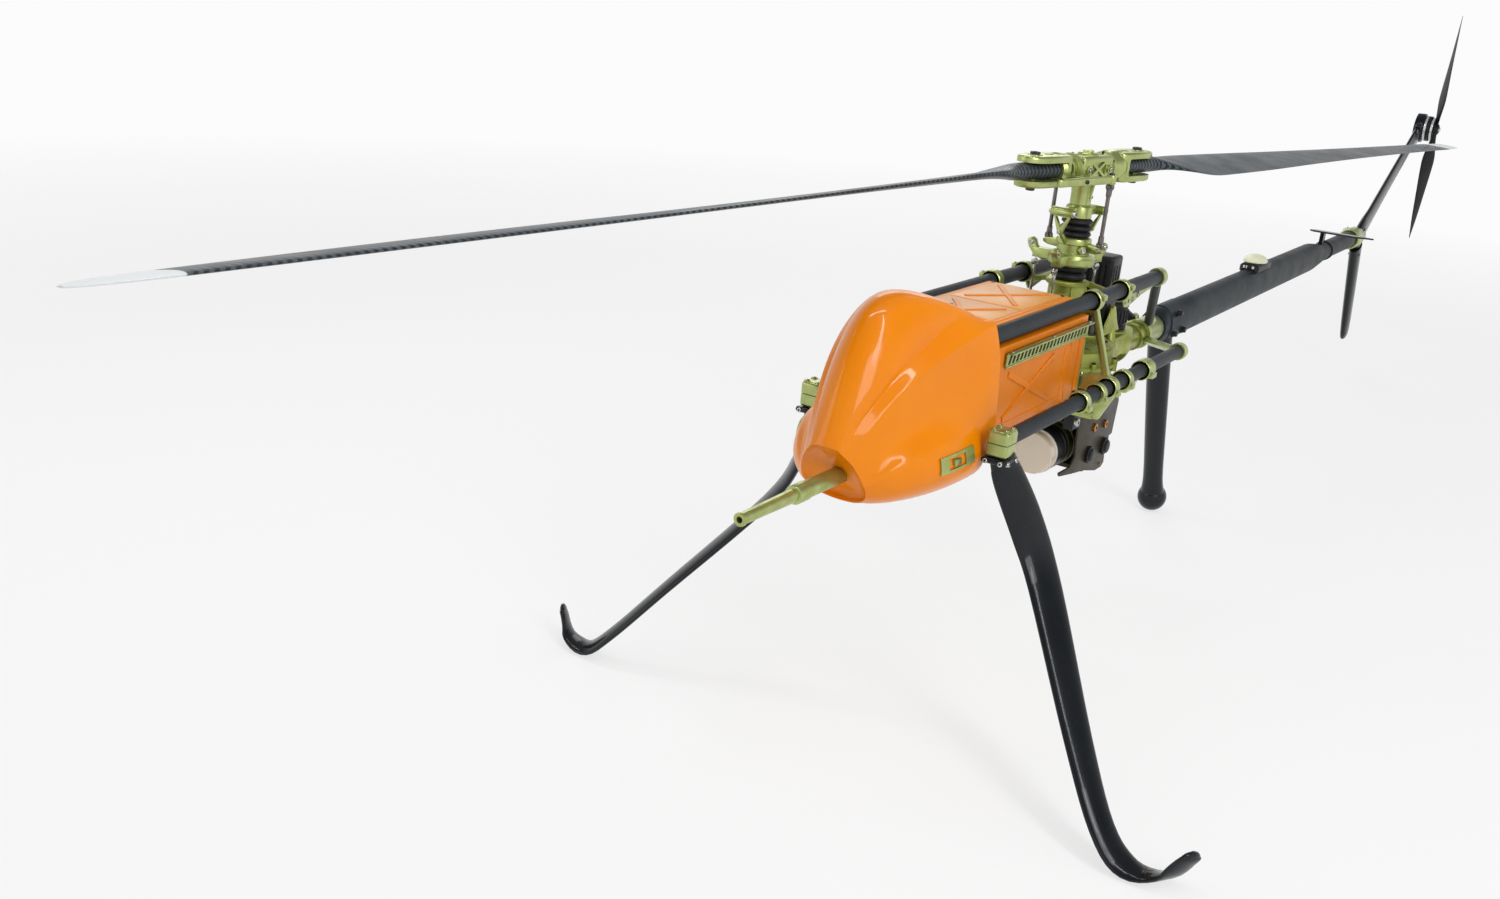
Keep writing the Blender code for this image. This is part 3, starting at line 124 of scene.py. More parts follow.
def addWorld():
    world = bpy.data.worlds.new("studio")
    scene.world = world
    world.use_nodes = True
    tree = world.node_tree
    tree.nodes.clear()
    output = tree.nodes.new("ShaderNodeOutputWorld")
    mix = tree.nodes.new("ShaderNodeMixShader")
    light = tree.nodes.new("ShaderNodeBackground")
    seen = tree.nodes.new("ShaderNodeBackground")
    place = tree.nodes.new("ShaderNodeTexCoord")
    split = tree.nodes.new("ShaderNodeSeparateXYZ")
    ramp = tree.nodes.new("ShaderNodeMapRange")
    light.inputs["Color"].default_value = (1, 1, 1, 1)
    light.inputs["Strength"].default_value = roomSetup["light"]
    tree.links.new(place.outputs["Generated"], split.inputs[0])
    tree.links.new(split.outputs["Z"], ramp.inputs["Value"])
    # pale walls, then a dimmer ceiling
    ramp.inputs["From Min"].default_value = roomSetup["rampLow"]
    ramp.inputs["From Max"].default_value = roomSetup["rampHigh"]
    ramp.inputs["To Min"].default_value = roomSetup["pale"]
    ramp.inputs["To Max"].default_value = roomSetup["ceiling"]
    tree.links.new(ramp.outputs["Result"], seen.inputs["Color"])
    tree.links.new(seenRays(tree), mix.inputs[0])
    tree.links.new(light.outputs[0], mix.inputs[1])
    tree.links.new(seen.outputs[0], mix.inputs[2])
    tree.links.new(mix.outputs[0], output.inputs[0])


def addFloor():
    bpy.ops.object.select_all(action="DESELECT")
    bpy.ops.mesh.primitive_circle_add(
        vertices=64, radius=floorSetup["radius"], fill_type="NGON", location=(0, 0, -floorSetup["drop"]))
    floor = bpy.context.object
    floor.name = "studioFloor"
    material = bpy.data.materials.new("paleFloor")
    material.use_nodes = True
    tree = material.node_tree
    shader = tree.nodes["Principled BSDF"]
    shader.inputs["Base Color"].default_value = (floorSetup["tone"],) * 3 + (1,)
    shader.inputs["Roughness"].default_value = 0.8
    shader.inputs["Specular IOR Level"].default_value = 0.2
    glow = tree.nodes.new("ShaderNodeEmission")
    glow.inputs["Color"].default_value = (roomSetup["pale"],) * 3 + (1,)
    share = tree.nodes.new("ShaderNodeMath")
    share.operation = "MULTIPLY"
    share.inputs[1].default_value = floorSetup["glow"]
    tree.links.new(seenRays(tree), share.inputs[0])
    lit = tree.nodes.new("ShaderNodeMixShader")
    tree.links.new(share.outputs[0], lit.inputs[0])
    tree.links.new(shader.outputs[0], lit.inputs[1])
    tree.links.new(glow.outputs[0], lit.inputs[2])
    clear = tree.nodes.new("ShaderNodeBsdfTransparent")
    mix = tree.nodes.new("ShaderNodeMixShader")
    place = tree.nodes.new("ShaderNodeTexCoord")
    length = tree.nodes.new("ShaderNodeVectorMath")
    length.operation = "LENGTH"
    fade = tree.nodes.new("ShaderNodeMapRange")
    fade.inputs["From Min"].default_value = floorSetup["fadeStart"]
    fade.inputs["From Max"].default_value = floorSetup["fadeEnd"]
    tree.links.new(place.outputs["Object"], length.inputs[0])
    tree.links.new(length.outputs["Value"], fade.inputs["Value"])
    tree.links.new(fade.outputs["Result"], mix.inputs[0])
    tree.links.new(lit.outputs[0], mix.inputs[1])
    tree.links.new(clear.outputs[0], mix.inputs[2])
    tree.links.new(mix.outputs[0], tree.nodes["Material Output"].inputs["Surface"])
    floor.data.materials.append(material)


scene.view_settings.view_transform = "Standard"
addCamera()
addLamps()
addWorld()
addFloor()
print("camera, lamps and floor are in")


# shared shader groups

def newGroup(name, inputs, outputs):
    group = bpy.data.node_groups.new(name, "ShaderNodeTree")
    for label, kind, value in inputs:
        socket = group.interface.new_socket(label, in_out="INPUT", socket_type=kind)
        if value is not None:
            socket.default_value = value
    for label, kind in outputs:
        group.interface.new_socket(label, in_out="OUTPUT", socket_type=kind)
    return group, group.nodes.new("NodeGroupInput"), group.nodes.new("NodeGroupOutput")


def setInput(tree, socket, value):
    # a link from another node's socket, a colour or a plain value
    if isinstance(value, bpy.types.NodeSocket):
        tree.links.new(value, socket)
    else:
        socket.default_value = (*value, 1) if isinstance(value, tuple) else value


def mathNode(tree, operation, first, second=None, third=None):
    node = tree.nodes.new("ShaderNodeMath")
    node.operation = operation
    for socket, value in zip(node.inputs, (first, second, third)):
        if value is not None:
            setInput(tree, socket, value)
    return node.outputs[0]


def rangeNode(tree, value, fromMin, fromMax, toMin=0.0, toMax=1.0):
    node = tree.nodes.new("ShaderNodeMapRange")
    for label, item in (("Value", value), ("From Min", fromMin), ("From Max", fromMax), ("To Min", toMin),
                        ("To Max", toMax)):
        setInput(tree, node.inputs[label], item)
    return node.outputs["Result"]


def colourMix(tree, factor, first, second, blend="MIX"):
    node = tree.nodes.new("ShaderNodeMix")
    node.data_type = "RGBA"
    node.blend_type = blend
    for socket, value in ((node.inputs["Factor"], factor), (node.inputs[6], first), (node.inputs[7], second)):
        setInput(tree, socket, value)
    return node.outputs[2]


def noiseNode(tree, vector, scale, detail=2.0, roughness=0.5):
    node = tree.nodes.new("ShaderNodeTexNoise")
    node.inputs["Detail"].default_value = detail
    node.inputs["Roughness"].default_value = roughness
    tree.links.new(vector, node.inputs["Vector"])
    setInput(tree, node.inputs["Scale"], scale)
    return node.outputs["Fac"]


def makeBlotchGroup():
    # soft uneven patches, for paint, castings and moulded plastic
    group, inside, outside = newGroup(
        "softBlotches", [("Vector", "NodeSocketVector", None), ("Scale", "NodeSocketFloat", 8.0),
                         ("Colour", "NodeSocketColor", (0.5, 0.5, 0.5, 1)),
                         ("Shade", "NodeSocketColor", (0.4, 0.4, 0.4, 1)), ("Low", "NodeSocketFloat", 0.3),
                         ("High", "NodeSocketFloat", 0.4)],
        [("Colour", "NodeSocketColor"), ("Roughness", "NodeSocketFloat"), ("Mask", "NodeSocketFloat")])
    broad = noiseNode(group, inside.outputs["Vector"], inside.outputs["Scale"], 4.0, 0.6)
    mask = rangeNode(group, broad, 0.32, 0.68)
    mixed = colourMix(group, mask, inside.outputs["Colour"], inside.outputs["Shade"])
    rough = rangeNode(group, broad, 0.3, 0.7, inside.outputs["Low"], inside.outputs["High"])
    group.links.new(mixed, outside.inputs["Colour"])
    group.links.new(rough, outside.inputs["Roughness"])
    group.links.new(mask, outside.inputs["Mask"])
    return group


def makeGrainGroup():
    # fine even grain, as a height
    group, inside, outside = newGroup(
        "fineGrain", [("Vector", "NodeSocketVector", None), ("Scale", "NodeSocketFloat", 900.0)],
        [("Height", "NodeSocketFloat")])
    grain = noiseNode(group, inside.outputs["Vector"], inside.outputs["Scale"], 3.0, 0.6)
    group.links.new(grain, outside.inputs["Height"])
    return group


def makeScuffGroup():
    # long fine rubs and small specks, as a mask from 0 to 1
    group, inside, outside = newGroup(
        "rubMarks", [("Vector", "NodeSocketVector", None), ("Scale", "NodeSocketFloat", 30.0),
                     ("Amount", "NodeSocketFloat", 0.3)], [("Mask", "NodeSocketFloat")])
    stretched = group.nodes.new("ShaderNodeVectorMath")
    stretched.operation = "MULTIPLY"
    stretched.inputs[1].default_value = (1, 0.12, 0.5)
    group.links.new(inside.outputs["Vector"], stretched.inputs[0])
    rubs = noiseNode(
        group, stretched.outputs[0], mathNode(group, "MULTIPLY", inside.outputs["Scale"], 6.0), 5.0, 0.7)
    specks = noiseNode(
        group, inside.outputs["Vector"], mathNode(group, "MULTIPLY", inside.outputs["Scale"], 14.0), 2.0)
    edge = mathNode(group, "MAXIMUM", rangeNode(group, rubs, 0.60, 0.72), rangeNode(group, specks, 0.70, 0.76))
    group.links.new(mathNode(group, "MULTIPLY", edge, inside.outputs["Amount"]), outside.inputs["Mask"])
    return group


def makeTwillGroup():
    # two over two twill: a mask of the strands that run one way, and the crowns of all strands
    group, inside, outside = newGroup(
        "twillWeave", [("U", "NodeSocketFloat", 0.0), ("V", "NodeSocketFloat", 0.0),
                       ("Strand", "NodeSocketFloat", 0.003)],
        [("Mask", "NodeSocketFloat"), ("Height", "NodeSocketFloat")])
    u = mathNode(group, "DIVIDE", inside.outputs["U"], inside.outputs["Strand"])
    v = mathNode(group, "DIVIDE", inside.outputs["V"], inside.outputs["Strand"])
    step = mathNode(group, "ADD", mathNode(group, "FLOOR", u), mathNode(group, "FLOOR", v))
    mask = mathNode(group, "LESS_THAN", mathNode(group, "FLOORED_MODULO", step, 4.0), 1.5)
    crownU = mathNode(group, "ABSOLUTE", mathNode(group, "SINE", mathNode(group, "MULTIPLY", u, math.pi)))
    crownV = mathNode(group, "ABSOLUTE", mathNode(group, "SINE", mathNode(group, "MULTIPLY", v, math.pi)))
    chosen = group.nodes.new("ShaderNodeMix")
    group.links.new(mask, chosen.inputs["Factor"])
    group.links.new(crownU, chosen.inputs[2])
    group.links.new(crownV, chosen.inputs[3])
    group.links.new(mask, outside.inputs["Mask"])
    group.links.new(chosen.outputs[0], outside.inputs["Height"])
    return group


blotches = makeBlotchGroup()
grain = makeGrainGroup()
scuffs = makeScuffGroup()
twill = makeTwillGroup()


def useGroup(tree, group, **values):
    node = tree.nodes.new("ShaderNodeGroup")
    node.node_tree = group
    for label, value in values.items():
        setInput(tree, node.inputs[label], value)
    return node


def objectPlace(tree):
    return tree.nodes.new("ShaderNodeTexCoord").outputs["Object"]


def addBump(tree, height, strength, distance, normal=None):
    bump = tree.nodes.new("ShaderNodeBump")
    bump.inputs["Strength"].default_value = strength
    bump.inputs["Distance"].default_value = distance
    tree.links.new(height, bump.inputs["Height"])
    if normal is not None:
        tree.links.new(normal, bump.inputs["Normal"])
    return bump.outputs["Normal"]


def newMaterial(name):
    material = bpy.data.materials.new(name)
    material.use_nodes = True
    tree = material.node_tree
    return material, tree, tree.nodes["Principled BSDF"]


def surfaceFinish(name, base, shade, rough, metallic=0.0, coat=0.0, coatRough=0.05, blotchScale=8.0,
                  grainScale=900.0, grainStrength=0.1, grainDepth=0.0003, rub=0.0, rubColour=(0.6, 0.6, 0.6),
                  rubScale=30.0, gloss=0.5):
    material, tree, shader = newMaterial(name)
    place = objectPlace(tree)
    patch = useGroup(
        tree, blotches, Vector=place, Scale=blotchScale, Colour=base, Shade=shade, Low=rough[0], High=rough[1])
    tone = patch.outputs["Colour"]
    if rub:
        marks = useGroup(tree, scuffs, Vector=place, Scale=rubScale, Amount=rub)
        tone = colourMix(tree, marks.outputs["Mask"], tone, rubColour)
    tree.links.new(tone, shader.inputs["Base Color"])
    tree.links.new(patch.outputs["Roughness"], shader.inputs["Roughness"])
    fine = useGroup(tree, grain, Vector=place, Scale=grainScale)
    tree.links.new(addBump(tree, fine.outputs["Height"], grainStrength, grainDepth), shader.inputs["Normal"])
    shader.inputs["Metallic"].default_value = metallic
    shader.inputs["Specular IOR Level"].default_value = gloss
    shader.inputs["Coat Weight"].default_value = coat
    shader.inputs["Coat Roughness"].default_value = coatRough
    return material


finishes = {
    "noseOrangePaint": dict(
        base=(0.88, 0.262, 0.0), shade=(0.84, 0.225, 0.0), rough=(0.30, 0.36), gloss=0.10, coat=0.40,
        blotchScale=5.0, grainScale=260.0, grainStrength=0.03, rub=0.06, rubColour=(0.95, 0.50, 0.14)),
    "batteryOrange": dict(
        base=(0.82, 0.225, 0.0), shade=(0.75, 0.190, 0.0), rough=(0.36, 0.46), gloss=0.25, blotchScale=9.0,
        grainScale=700.0, grainStrength=0.12, rub=0.12, rubColour=(0.85, 0.36, 0.08)),
    "lidOrange": dict(
        base=(0.82, 0.27, 0.020), shade=(0.78, 0.24, 0.016), rough=(0.34, 0.44), gloss=0.25, blotchScale=9.0,
        grainScale=700.0, grainStrength=0.12, rub=0.12, rubColour=(0.88, 0.42, 0.14)),
    "lidPaleOrange": dict(base=(0.82, 0.40, 0.12), shade=(0.78, 0.36, 0.10), rough=(0.30, 0.40), gloss=0.25,
                          blotchScale=9.0, grainScale=700.0, rub=0.10, rubColour=(0.88, 0.52, 0.28)),
    "anodisedGreen": dict(
        base=(0.45, 0.51, 0.20), shade=(0.34, 0.39, 0.125), rough=(0.26, 0.38), metallic=0.80,
        blotchScale=34.0, grainScale=1600.0, grainStrength=0.15, rub=0.35, rubColour=(0.66, 0.68, 0.42),
        rubScale=60.0),
    "castGreen": dict(
        base=(0.40, 0.44, 0.105), shade=(0.30, 0.335, 0.068), rough=(0.34, 0.48), metallic=0.72,
        blotchScale=40.0, grainStrength=0.35, rub=0.30, rubColour=(0.62, 0.64, 0.36), rubScale=60.0),
    "legBlack": dict(
        base=(0.007, 0.009, 0.012), shade=(0.010, 0.012, 0.015), rough=(0.20, 0.28), gloss=0.12, coat=0.35,
        coatRough=0.03, blotchScale=12.0, grainScale=400.0, grainStrength=0.03, rub=0.10,
        rubColour=(0.06, 0.07, 0.08)),
    "plasticBlack": dict(
        base=(0.010, 0.010, 0.011), shade=(0.016, 0.016, 0.018), rough=(0.36, 0.48), gloss=0.25,
        blotchScale=25.0, grainScale=1500.0, grainStrength=0.2, rub=0.25, rubColour=(0.09, 0.09, 0.09)),
    "bellowsRubber": dict(base=(0.013, 0.013, 0.015), shade=(0.016, 0.016, 0.018), rough=(0.42, 0.58),
                          gloss=0.3, blotchScale=40.0, grainScale=1800.0, grainStrength=0.2),
    "linkSteel": dict(base=(0.50, 0.48, 0.46), shade=(0.36, 0.34, 0.32), rough=(0.2, 0.34), metallic=1.0,
                      blotchScale=60.0, grainScale=2000.0, rub=0.3, rubColour=(0.75, 0.74, 0.72)),
    "linkDark": dict(base=(0.20, 0.18, 0.175), shade=(0.13, 0.12, 0.12), rough=(0.24, 0.36), metallic=0.9,
                     blotchScale=60.0, grainScale=2000.0, rub=0.3, rubColour=(0.45, 0.42, 0.40)),
    "paleMetal": dict(base=(0.74, 0.77, 0.78), shade=(0.64, 0.67, 0.68), rough=(0.24, 0.34), metallic=0.5,
                      blotchScale=60.0, grainScale=1800.0),
    "boltSteel": dict(base=(0.60, 0.60, 0.58), shade=(0.42, 0.42, 0.40), rough=(0.2, 0.3), metallic=1.0,
                      blotchScale=80.0, grainScale=2000.0),
    "boltDark": dict(base=(0.035, 0.035, 0.036), shade=(0.06, 0.06, 0.06), rough=(0.28, 0.4), metallic=0.6,
                     blotchScale=80.0, grainScale=2000.0),
    "screwBrass": dict(base=(0.52, 0.25, 0.07), shade=(0.40, 0.18, 0.05), rough=(0.24, 0.36), metallic=1.0,
                       blotchScale=80.0, grainScale=2000.0),
    "payloadBrown": dict(
        base=(0.046, 0.036, 0.020), shade=(0.036, 0.028, 0.015), rough=(0.34, 0.46), metallic=0.1, gloss=0.2,
        blotchScale=25.0, grainScale=1800.0, grainStrength=0.2, rub=0.2, rubColour=(0.16, 0.13, 0.11)),
    "bandOlive": dict(base=(0.17, 0.185, 0.055), shade=(0.14, 0.155, 0.045), rough=(0.3, 0.4), metallic=0.4,
                      blotchScale=25.0, grainScale=1800.0),
    "ringWhite": dict(base=(0.80, 0.77, 0.70), shade=(0.74, 0.71, 0.64), rough=(0.3, 0.4), blotchScale=25.0,
                      grainScale=1800.0),
    "domeCream": dict(base=(0.88, 0.88, 0.64), shade=(0.84, 0.84, 0.59), rough=(0.35, 0.45), blotchScale=30.0,
                      grainScale=1200.0, rub=0.2, rubColour=(0.55, 0.52, 0.36)),
    "windowBeige": dict(base=(0.70, 0.60, 0.48), shade=(0.66, 0.56, 0.45), rough=(0.10, 0.14), coat=0.6,
                        coatRough=0.02, blotchScale=20.0, grainScale=1200.0, grainStrength=0.02),
}
made = {name: surfaceFinish(name, **values) for name, values in finishes.items()}


weaves = {
    # name: dark strand, light strand, strand width, roughness, coat
    "bladeCarbon": ((0.020, 0.026, 0.031), (0.100, 0.120, 0.135), 0.0050, 0.34, 0.08),
    "propellerCarbon": ((0.010, 0.011, 0.012), (0.022, 0.024, 0.026), 0.0030, 0.40, 0.05),
    "boomCarbon": ((0.010, 0.016, 0.020), (0.024, 0.034, 0.042), 0.0030, 0.42, 0.04),
}
boomWrap = {"height": 0.448, "radius": 0.034}          # the boom's axis and the circle its cloth follows
tipSetup = {"edge": 1.499, "blend": 0.002, "white": (0.80, 0.83, 0.84)}


def carbonFinish(name, dark, light, strand, rough, coat):
    material, tree, shader = newMaterial(name)
    mapping = tree.nodes.new("ShaderNodeMapping")
    place = objectPlace(tree)
    split = tree.nodes.new("ShaderNodeSeparateXYZ")
    if name == "bladeCarbon":
        mapping.vector_type = "TEXTURE"
        mapping.inputs["Location"].default_value = (0, mastY, 0)
        mapping.inputs["Rotation"].default_value = (0, 0, rotorAzimuth)
    tree.links.new(place, mapping.inputs["Vector"])
    tree.links.new(mapping.outputs["Vector"], split.inputs[0])
    x, y, z = (split.outputs[label] for label in "XYZ")
    if name == "propellerCarbon":
        first, other = z, y
    elif name == "boomCarbon":
        first = y
        turn = mathNode(tree, "ARCTAN2", x, mathNode(tree, "SUBTRACT", z, boomWrap["height"]))
        other = mathNode(tree, "MULTIPLY", turn, boomWrap["radius"])
    else:
        first, other = y, x
    cloth = useGroup(tree, twill, U=mathNode(tree, "ADD", first, other),
                     V=mathNode(tree, "SUBTRACT", first, other), Strand=strand)
    tone = colourMix(tree, cloth.outputs["Mask"], dark, light)
    streak = noiseNode(tree, mapping.outputs["Vector"], 14.0, 3.0, 0.6)
    tone = colourMix(tree, rangeNode(tree, streak, 0.35, 0.7, 0.0, 0.6), tone, dark)
    roughness = rangeNode(tree, streak, 0.3, 0.7, rough, rough + 0.1)
    if name == "bladeCarbon":
        far = tree.nodes.new("ShaderNodeVectorMath")
        far.operation = "LENGTH"
        flat = tree.nodes.new("ShaderNodeVectorMath")
        flat.operation = "MULTIPLY"
        flat.inputs[1].default_value = (1, 1, 0)
        tree.links.new(mapping.outputs["Vector"], flat.inputs[0])
        tree.links.new(flat.outputs[0], far.inputs[0])
        tip = rangeNode(tree, far.outputs["Value"], tipSetup["edge"], tipSetup["edge"] + tipSetup["blend"])
        tone = colourMix(tree, tip, tone, tipSetup["white"])
    tree.links.new(tone, shader.inputs["Base Color"])
    tree.links.new(roughness, shader.inputs["Roughness"])
    tree.links.new(addBump(tree, cloth.outputs["Height"], 0.12, 0.0002), shader.inputs["Normal"])
    shader.inputs["Specular IOR Level"].default_value = 0.10
    shader.inputs["Coat Weight"].default_value = coat
    shader.inputs["Coat Roughness"].default_value = 0.10
    return material


# the groove colour is painted shade in the grooves between the turns of the tape
wrapSetup = {"pitch": 0.0032, "wobble": 1.6, "worn": (0.055, 0.064, 0.072), "crest": (0.034, 0.041, 0.048),
             "groove": (0.008, 0.010, 0.013)}


def tubeWrapFinish():
    # tape wound round the frame tubes, as close rings along the tube; its colour is painted darker in the
    # grooves between the turns than on their crests, as painted shade
    material, tree, shader = newMaterial("tubeWrap")
    place = objectPlace(tree)
    split = tree.nodes.new("ShaderNodeSeparateXYZ")
    tree.links.new(place, split.inputs[0])
    wobble = noiseNode(tree, place, 60.0, 2.0)
    along = mathNode(
        tree, "ADD", mathNode(tree, "MULTIPLY", split.outputs["Y"], 2 * math.pi / wrapSetup["pitch"]),
        mathNode(tree, "MULTIPLY", wobble, wrapSetup["wobble"]))
    wave = mathNode(tree, "ABSOLUTE", mathNode(tree, "SINE", mathNode(tree, "MULTIPLY", along, 0.5)))
    crest = rangeNode(tree, wave, 0.15, 0.75)
    patch = noiseNode(tree, place, 22.0, 4.0, 0.6)
    # painted shade: dark in the grooves, lighter on the crests
    tone = colourMix(tree, crest, wrapSetup["groove"], wrapSetup["crest"])
    tone = colourMix(tree, rangeNode(tree, patch, 0.45, 0.8, 0.0, 0.5), tone, wrapSetup["worn"])
    tree.links.new(tone, shader.inputs["Base Color"])
    tree.links.new(rangeNode(tree, patch, 0.3, 0.7, 0.42, 0.55), shader.inputs["Roughness"])
    tree.links.new(addBump(tree, crest, 0.5, 0.0005), shader.inputs["Normal"])
    shader.inputs["Specular IOR Level"].default_value = 0.2
    return material


for name, values in weaves.items():
    made[name] = carbonFinish(name, *values)
made["tubeWrap"] = tubeWrapFinish()
print("finishes are ready:", len(made))


# modelling helpers

def clearSelection():
    if bpy.context.object and bpy.context.object.mode != "OBJECT":
        bpy.ops.object.mode_set(mode="OBJECT")
    bpy.ops.object.select_all(action="DESELECT")


def pickOnly(piece):
    clearSelection()
    piece.select_set(True)
    bpy.context.view_layer.objects.active = piece


def editAll(piece, mode="FACE"):
    pickOnly(piece)
    bpy.ops.object.mode_set(mode="EDIT")
    bpy.ops.mesh.select_mode(type=mode)
    bpy.ops.mesh.select_all(action="SELECT")


def leaveEdit():
    bpy.ops.object.mode_set(mode="OBJECT")


def settle(piece, matrix=None):
    # the piece's place and turn go into its mesh
    pickOnly(piece)
    bpy.ops.object.transform_apply(location=True, rotation=True, scale=True)
    if matrix is not None:
        piece.data.transform(matrix)
    return piece


def applyAll(piece):
    pickOnly(piece)
    for modifier in list(piece.modifiers):
        bpy.ops.object.modifier_apply(modifier=modifier.name)
    return piece


def smoothAt(piece, angle=32):
    pickOnly(piece)
    bpy.ops.object.shade_smooth_by_angle(angle=math.radians(angle))
    return piece


def soften(piece, width, steps=2, angle=32):
    if width:
        bevel = piece.modifiers.new("edges", "BEVEL")
        bevel.width = width
        bevel.segments = steps
        bevel.limit_method = "ANGLE"
        bevel.angle_limit = math.radians(angle)
        applyAll(piece)
    return smoothAt(piece, angle)


def makeOutward(piece):
    editAll(piece)
    bpy.ops.mesh.normals_make_consistent(inside=False)
    leaveEdit()
    return piece


def block(name, low, high, edge=0.001, steps=2):
    corners = [sorted(pair) for pair in zip(low, high)]
    clearSelection()
    bpy.ops.mesh.primitive_cube_add(size=1, location=[(a + b) / 2 for a, b in corners])
    piece = bpy.context.object
    piece.name = name
    piece.scale = [b - a for a, b in corners]
    settle(piece)
    return soften(piece, edge, steps)


def rod(name, start, end, radius, endRadius=None, sides=32, edge=0.0006):
    start, end = Vector(start), Vector(end)
    clearSelection()
    bpy.ops.mesh.primitive_cone_add(
        vertices=sides, radius1=radius, radius2=radius if endRadius is None else endRadius,
        depth=(end - start).length, location=(start + end) / 2)
    piece = bpy.context.object
    piece.name = name
    piece.rotation_mode = "QUATERNION"
    piece.rotation_quaternion = (end - start).to_track_quat("Z", "Y")
    settle(piece)
    return soften(piece, edge, 2, 40)


def plate(name, outline, thickness, place, edge=0.0008, steps=2):
    # a flat outline, drawn out to both sides of its plane
    clearSelection()
    bpy.ops.mesh.primitive_circle_add(vertices=len(outline), radius=1, fill_type="NGON")
    piece = bpy.context.object
    piece.name = name
    for vertex, (x, y) in zip(piece.data.vertices, outline):
        vertex.co = (x, y, -thickness / 2)
    editAll(piece)
    bpy.ops.mesh.extrude_region_move(TRANSFORM_OT_translate={"value": (0, 0, thickness)})
    leaveEdit()
    makeOutward(piece)
    piece.data.transform(place)
    if place.determinant() < 0:
        makeOutward(piece)
    return soften(piece, edge, steps)


def turned(name, profile, place, steps=40, angle=32):
    # a profile of radius and height, spun about its own axis
    mesh = bpy.data.meshes.new(name)
    mesh.from_pydata(
        [(radius, 0, height) for radius, height in profile], [(i, i + 1) for i in range(len(profile) - 1)], [])
    piece = bpy.data.objects.new(name, mesh)
    scene.collection.objects.link(piece)
    editAll(piece, "VERT")
    bpy.ops.mesh.spin(steps=steps, angle=2 * math.pi, center=(0, 0, 0), axis=(0, 0, 1))
    bpy.ops.mesh.select_all(action="SELECT")
    bpy.ops.mesh.remove_doubles(threshold=0.00002)
    bpy.ops.mesh.normals_make_consistent(inside=False)
    leaveEdit()
    piece.data.transform(place)
    return smoothAt(piece, angle)


def skin(name, rings, closed=True, angle=40):
    # a surface over rings that all have the same number of points
    around = len(rings[0])
    columns = around if closed else around - 1
    rows = len(rings) - 1
    clearSelection()
    bpy.ops.mesh.primitive_grid_add(x_subdivisions=columns, y_subdivisions=rows, size=2)
    piece = bpy.context.object
    piece.name = name
    for vertex in piece.data.vertices:
        column = round((vertex.co.x + 1) / 2 * columns) % around
        row = round((vertex.co.y + 1) / 2 * rows)
        vertex.co = rings[row][column]
    if closed:
        editAll(piece, "VERT")
        bpy.ops.mesh.remove_doubles(threshold=0.000001)
        bpy.ops.mesh.select_all(action="SELECT")
        bpy.ops.mesh.fill_holes(sides=0)
        bpy.ops.mesh.select_all(action="SELECT")
        bpy.ops.mesh.normals_make_consistent(inside=False)
        leaveEdit()
    return smoothAt(piece, angle)


def cutAway(piece, *tools):
    for tool in tools:
        step = piece.modifiers.new("cut", "BOOLEAN")
        step.operation = "DIFFERENCE"
        step.solver = "EXACT"
        step.object = tool
        applyAll(piece)
        bpy.data.objects.remove(tool)
    return piece


def fuse(name, pieces):
    pickOnly(pieces[0])
    for other in pieces[1:]:
        other.select_set(True)
    bpy.ops.object.join()
    piece = bpy.context.object
    piece.name = name
    return piece


def alongX(x=0.0, y=0.0, z=0.0):
    # a drawing plane whose x and y are the helicopter's y and z
    return Matrix(((0, 0, 1, x), (1, 0, 0, y), (0, 1, 0, z), (0, 0, 0, 1)))


def alongY(x=0.0, y=0.0, z=0.0):
    # a drawing plane whose x and y are the helicopter's x and z
    return Matrix(((1, 0, 0, x), (0, 0, -1, y), (0, 1, 0, z), (0, 0, 0, 1)))


def shift(x, y, z):
    return Matrix.Translation((x, y, z))


def axisPlace(start, direction):
    turn = Vector(direction).to_track_quat("Z", "Y")
    return Matrix.Translation(Vector(start)) @ turn.to_matrix().to_4x4()


def atMast(height=0.0, degrees=0.0):
    return shift(0, mastY, height) @ Matrix.Rotation(math.radians(degrees), 4, "Z")


def spot(x, y, drop):
    # a point by its place along the helicopter from the mast, and its drop below the rotor hub
    return Vector((x, y + mastY, hubHeight - drop))


def sideView(rows):
    # places along the helicopter from the mast and drops below the hub, for plates drawn on alongX
    return [(y + mastY, hubHeight - drop) for y, drop in rows]


def smoothLine(rows, steps):
    # more rows along a smooth curve through the given ones
    padded = [rows[0], *rows, rows[-1]]
    line = []
    for before, start, end, after in zip(padded, padded[1:], padded[2:], padded[3:]):
        for i in range(steps):
            t = i / steps
            line.append([q + 0.5 * t * (r - p + t * (2 * p - 5 * q + 4 * r - s + t * (3 * (q - r) + s - p)))
                         for p, q, r, s in zip(before, start, end, after)])
    return [*line, list(rows[-1])]


def ovalRing(centre, across, along, halfAcross, halfAlong, count=32):
    return [centre + across * (halfAcross * math.cos(2 * math.pi * i / count))
            + along * (halfAlong * math.sin(2 * math.pi * i / count)) for i in range(count)]


def ovalBar(name, stations, across, count=32, angle=40):
    # a station is a centre, its half width along across and its half depth
    rings = []
    for i, (centre, halfAcross, halfAlong) in enumerate(stations):
        before = stations[max(i - 1, 0)][0]
        after = stations[min(i + 1, len(stations) - 1)][0]
        tangent = (after - before).normalized()
        side = (across - tangent * across.dot(tangent)).normalized()
        rings.append(ovalRing(centre, side, tangent.cross(side), halfAcross, halfAlong, count))
    return skin(name, rings, angle=angle)


def dress(piece, finish, body="airframe", standsFor=()):
    piece.data.materials.clear()
    piece.data.materials.append(made[finish])
    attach(piece, body)
    if standsFor:
        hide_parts(*standsFor)
    return piece


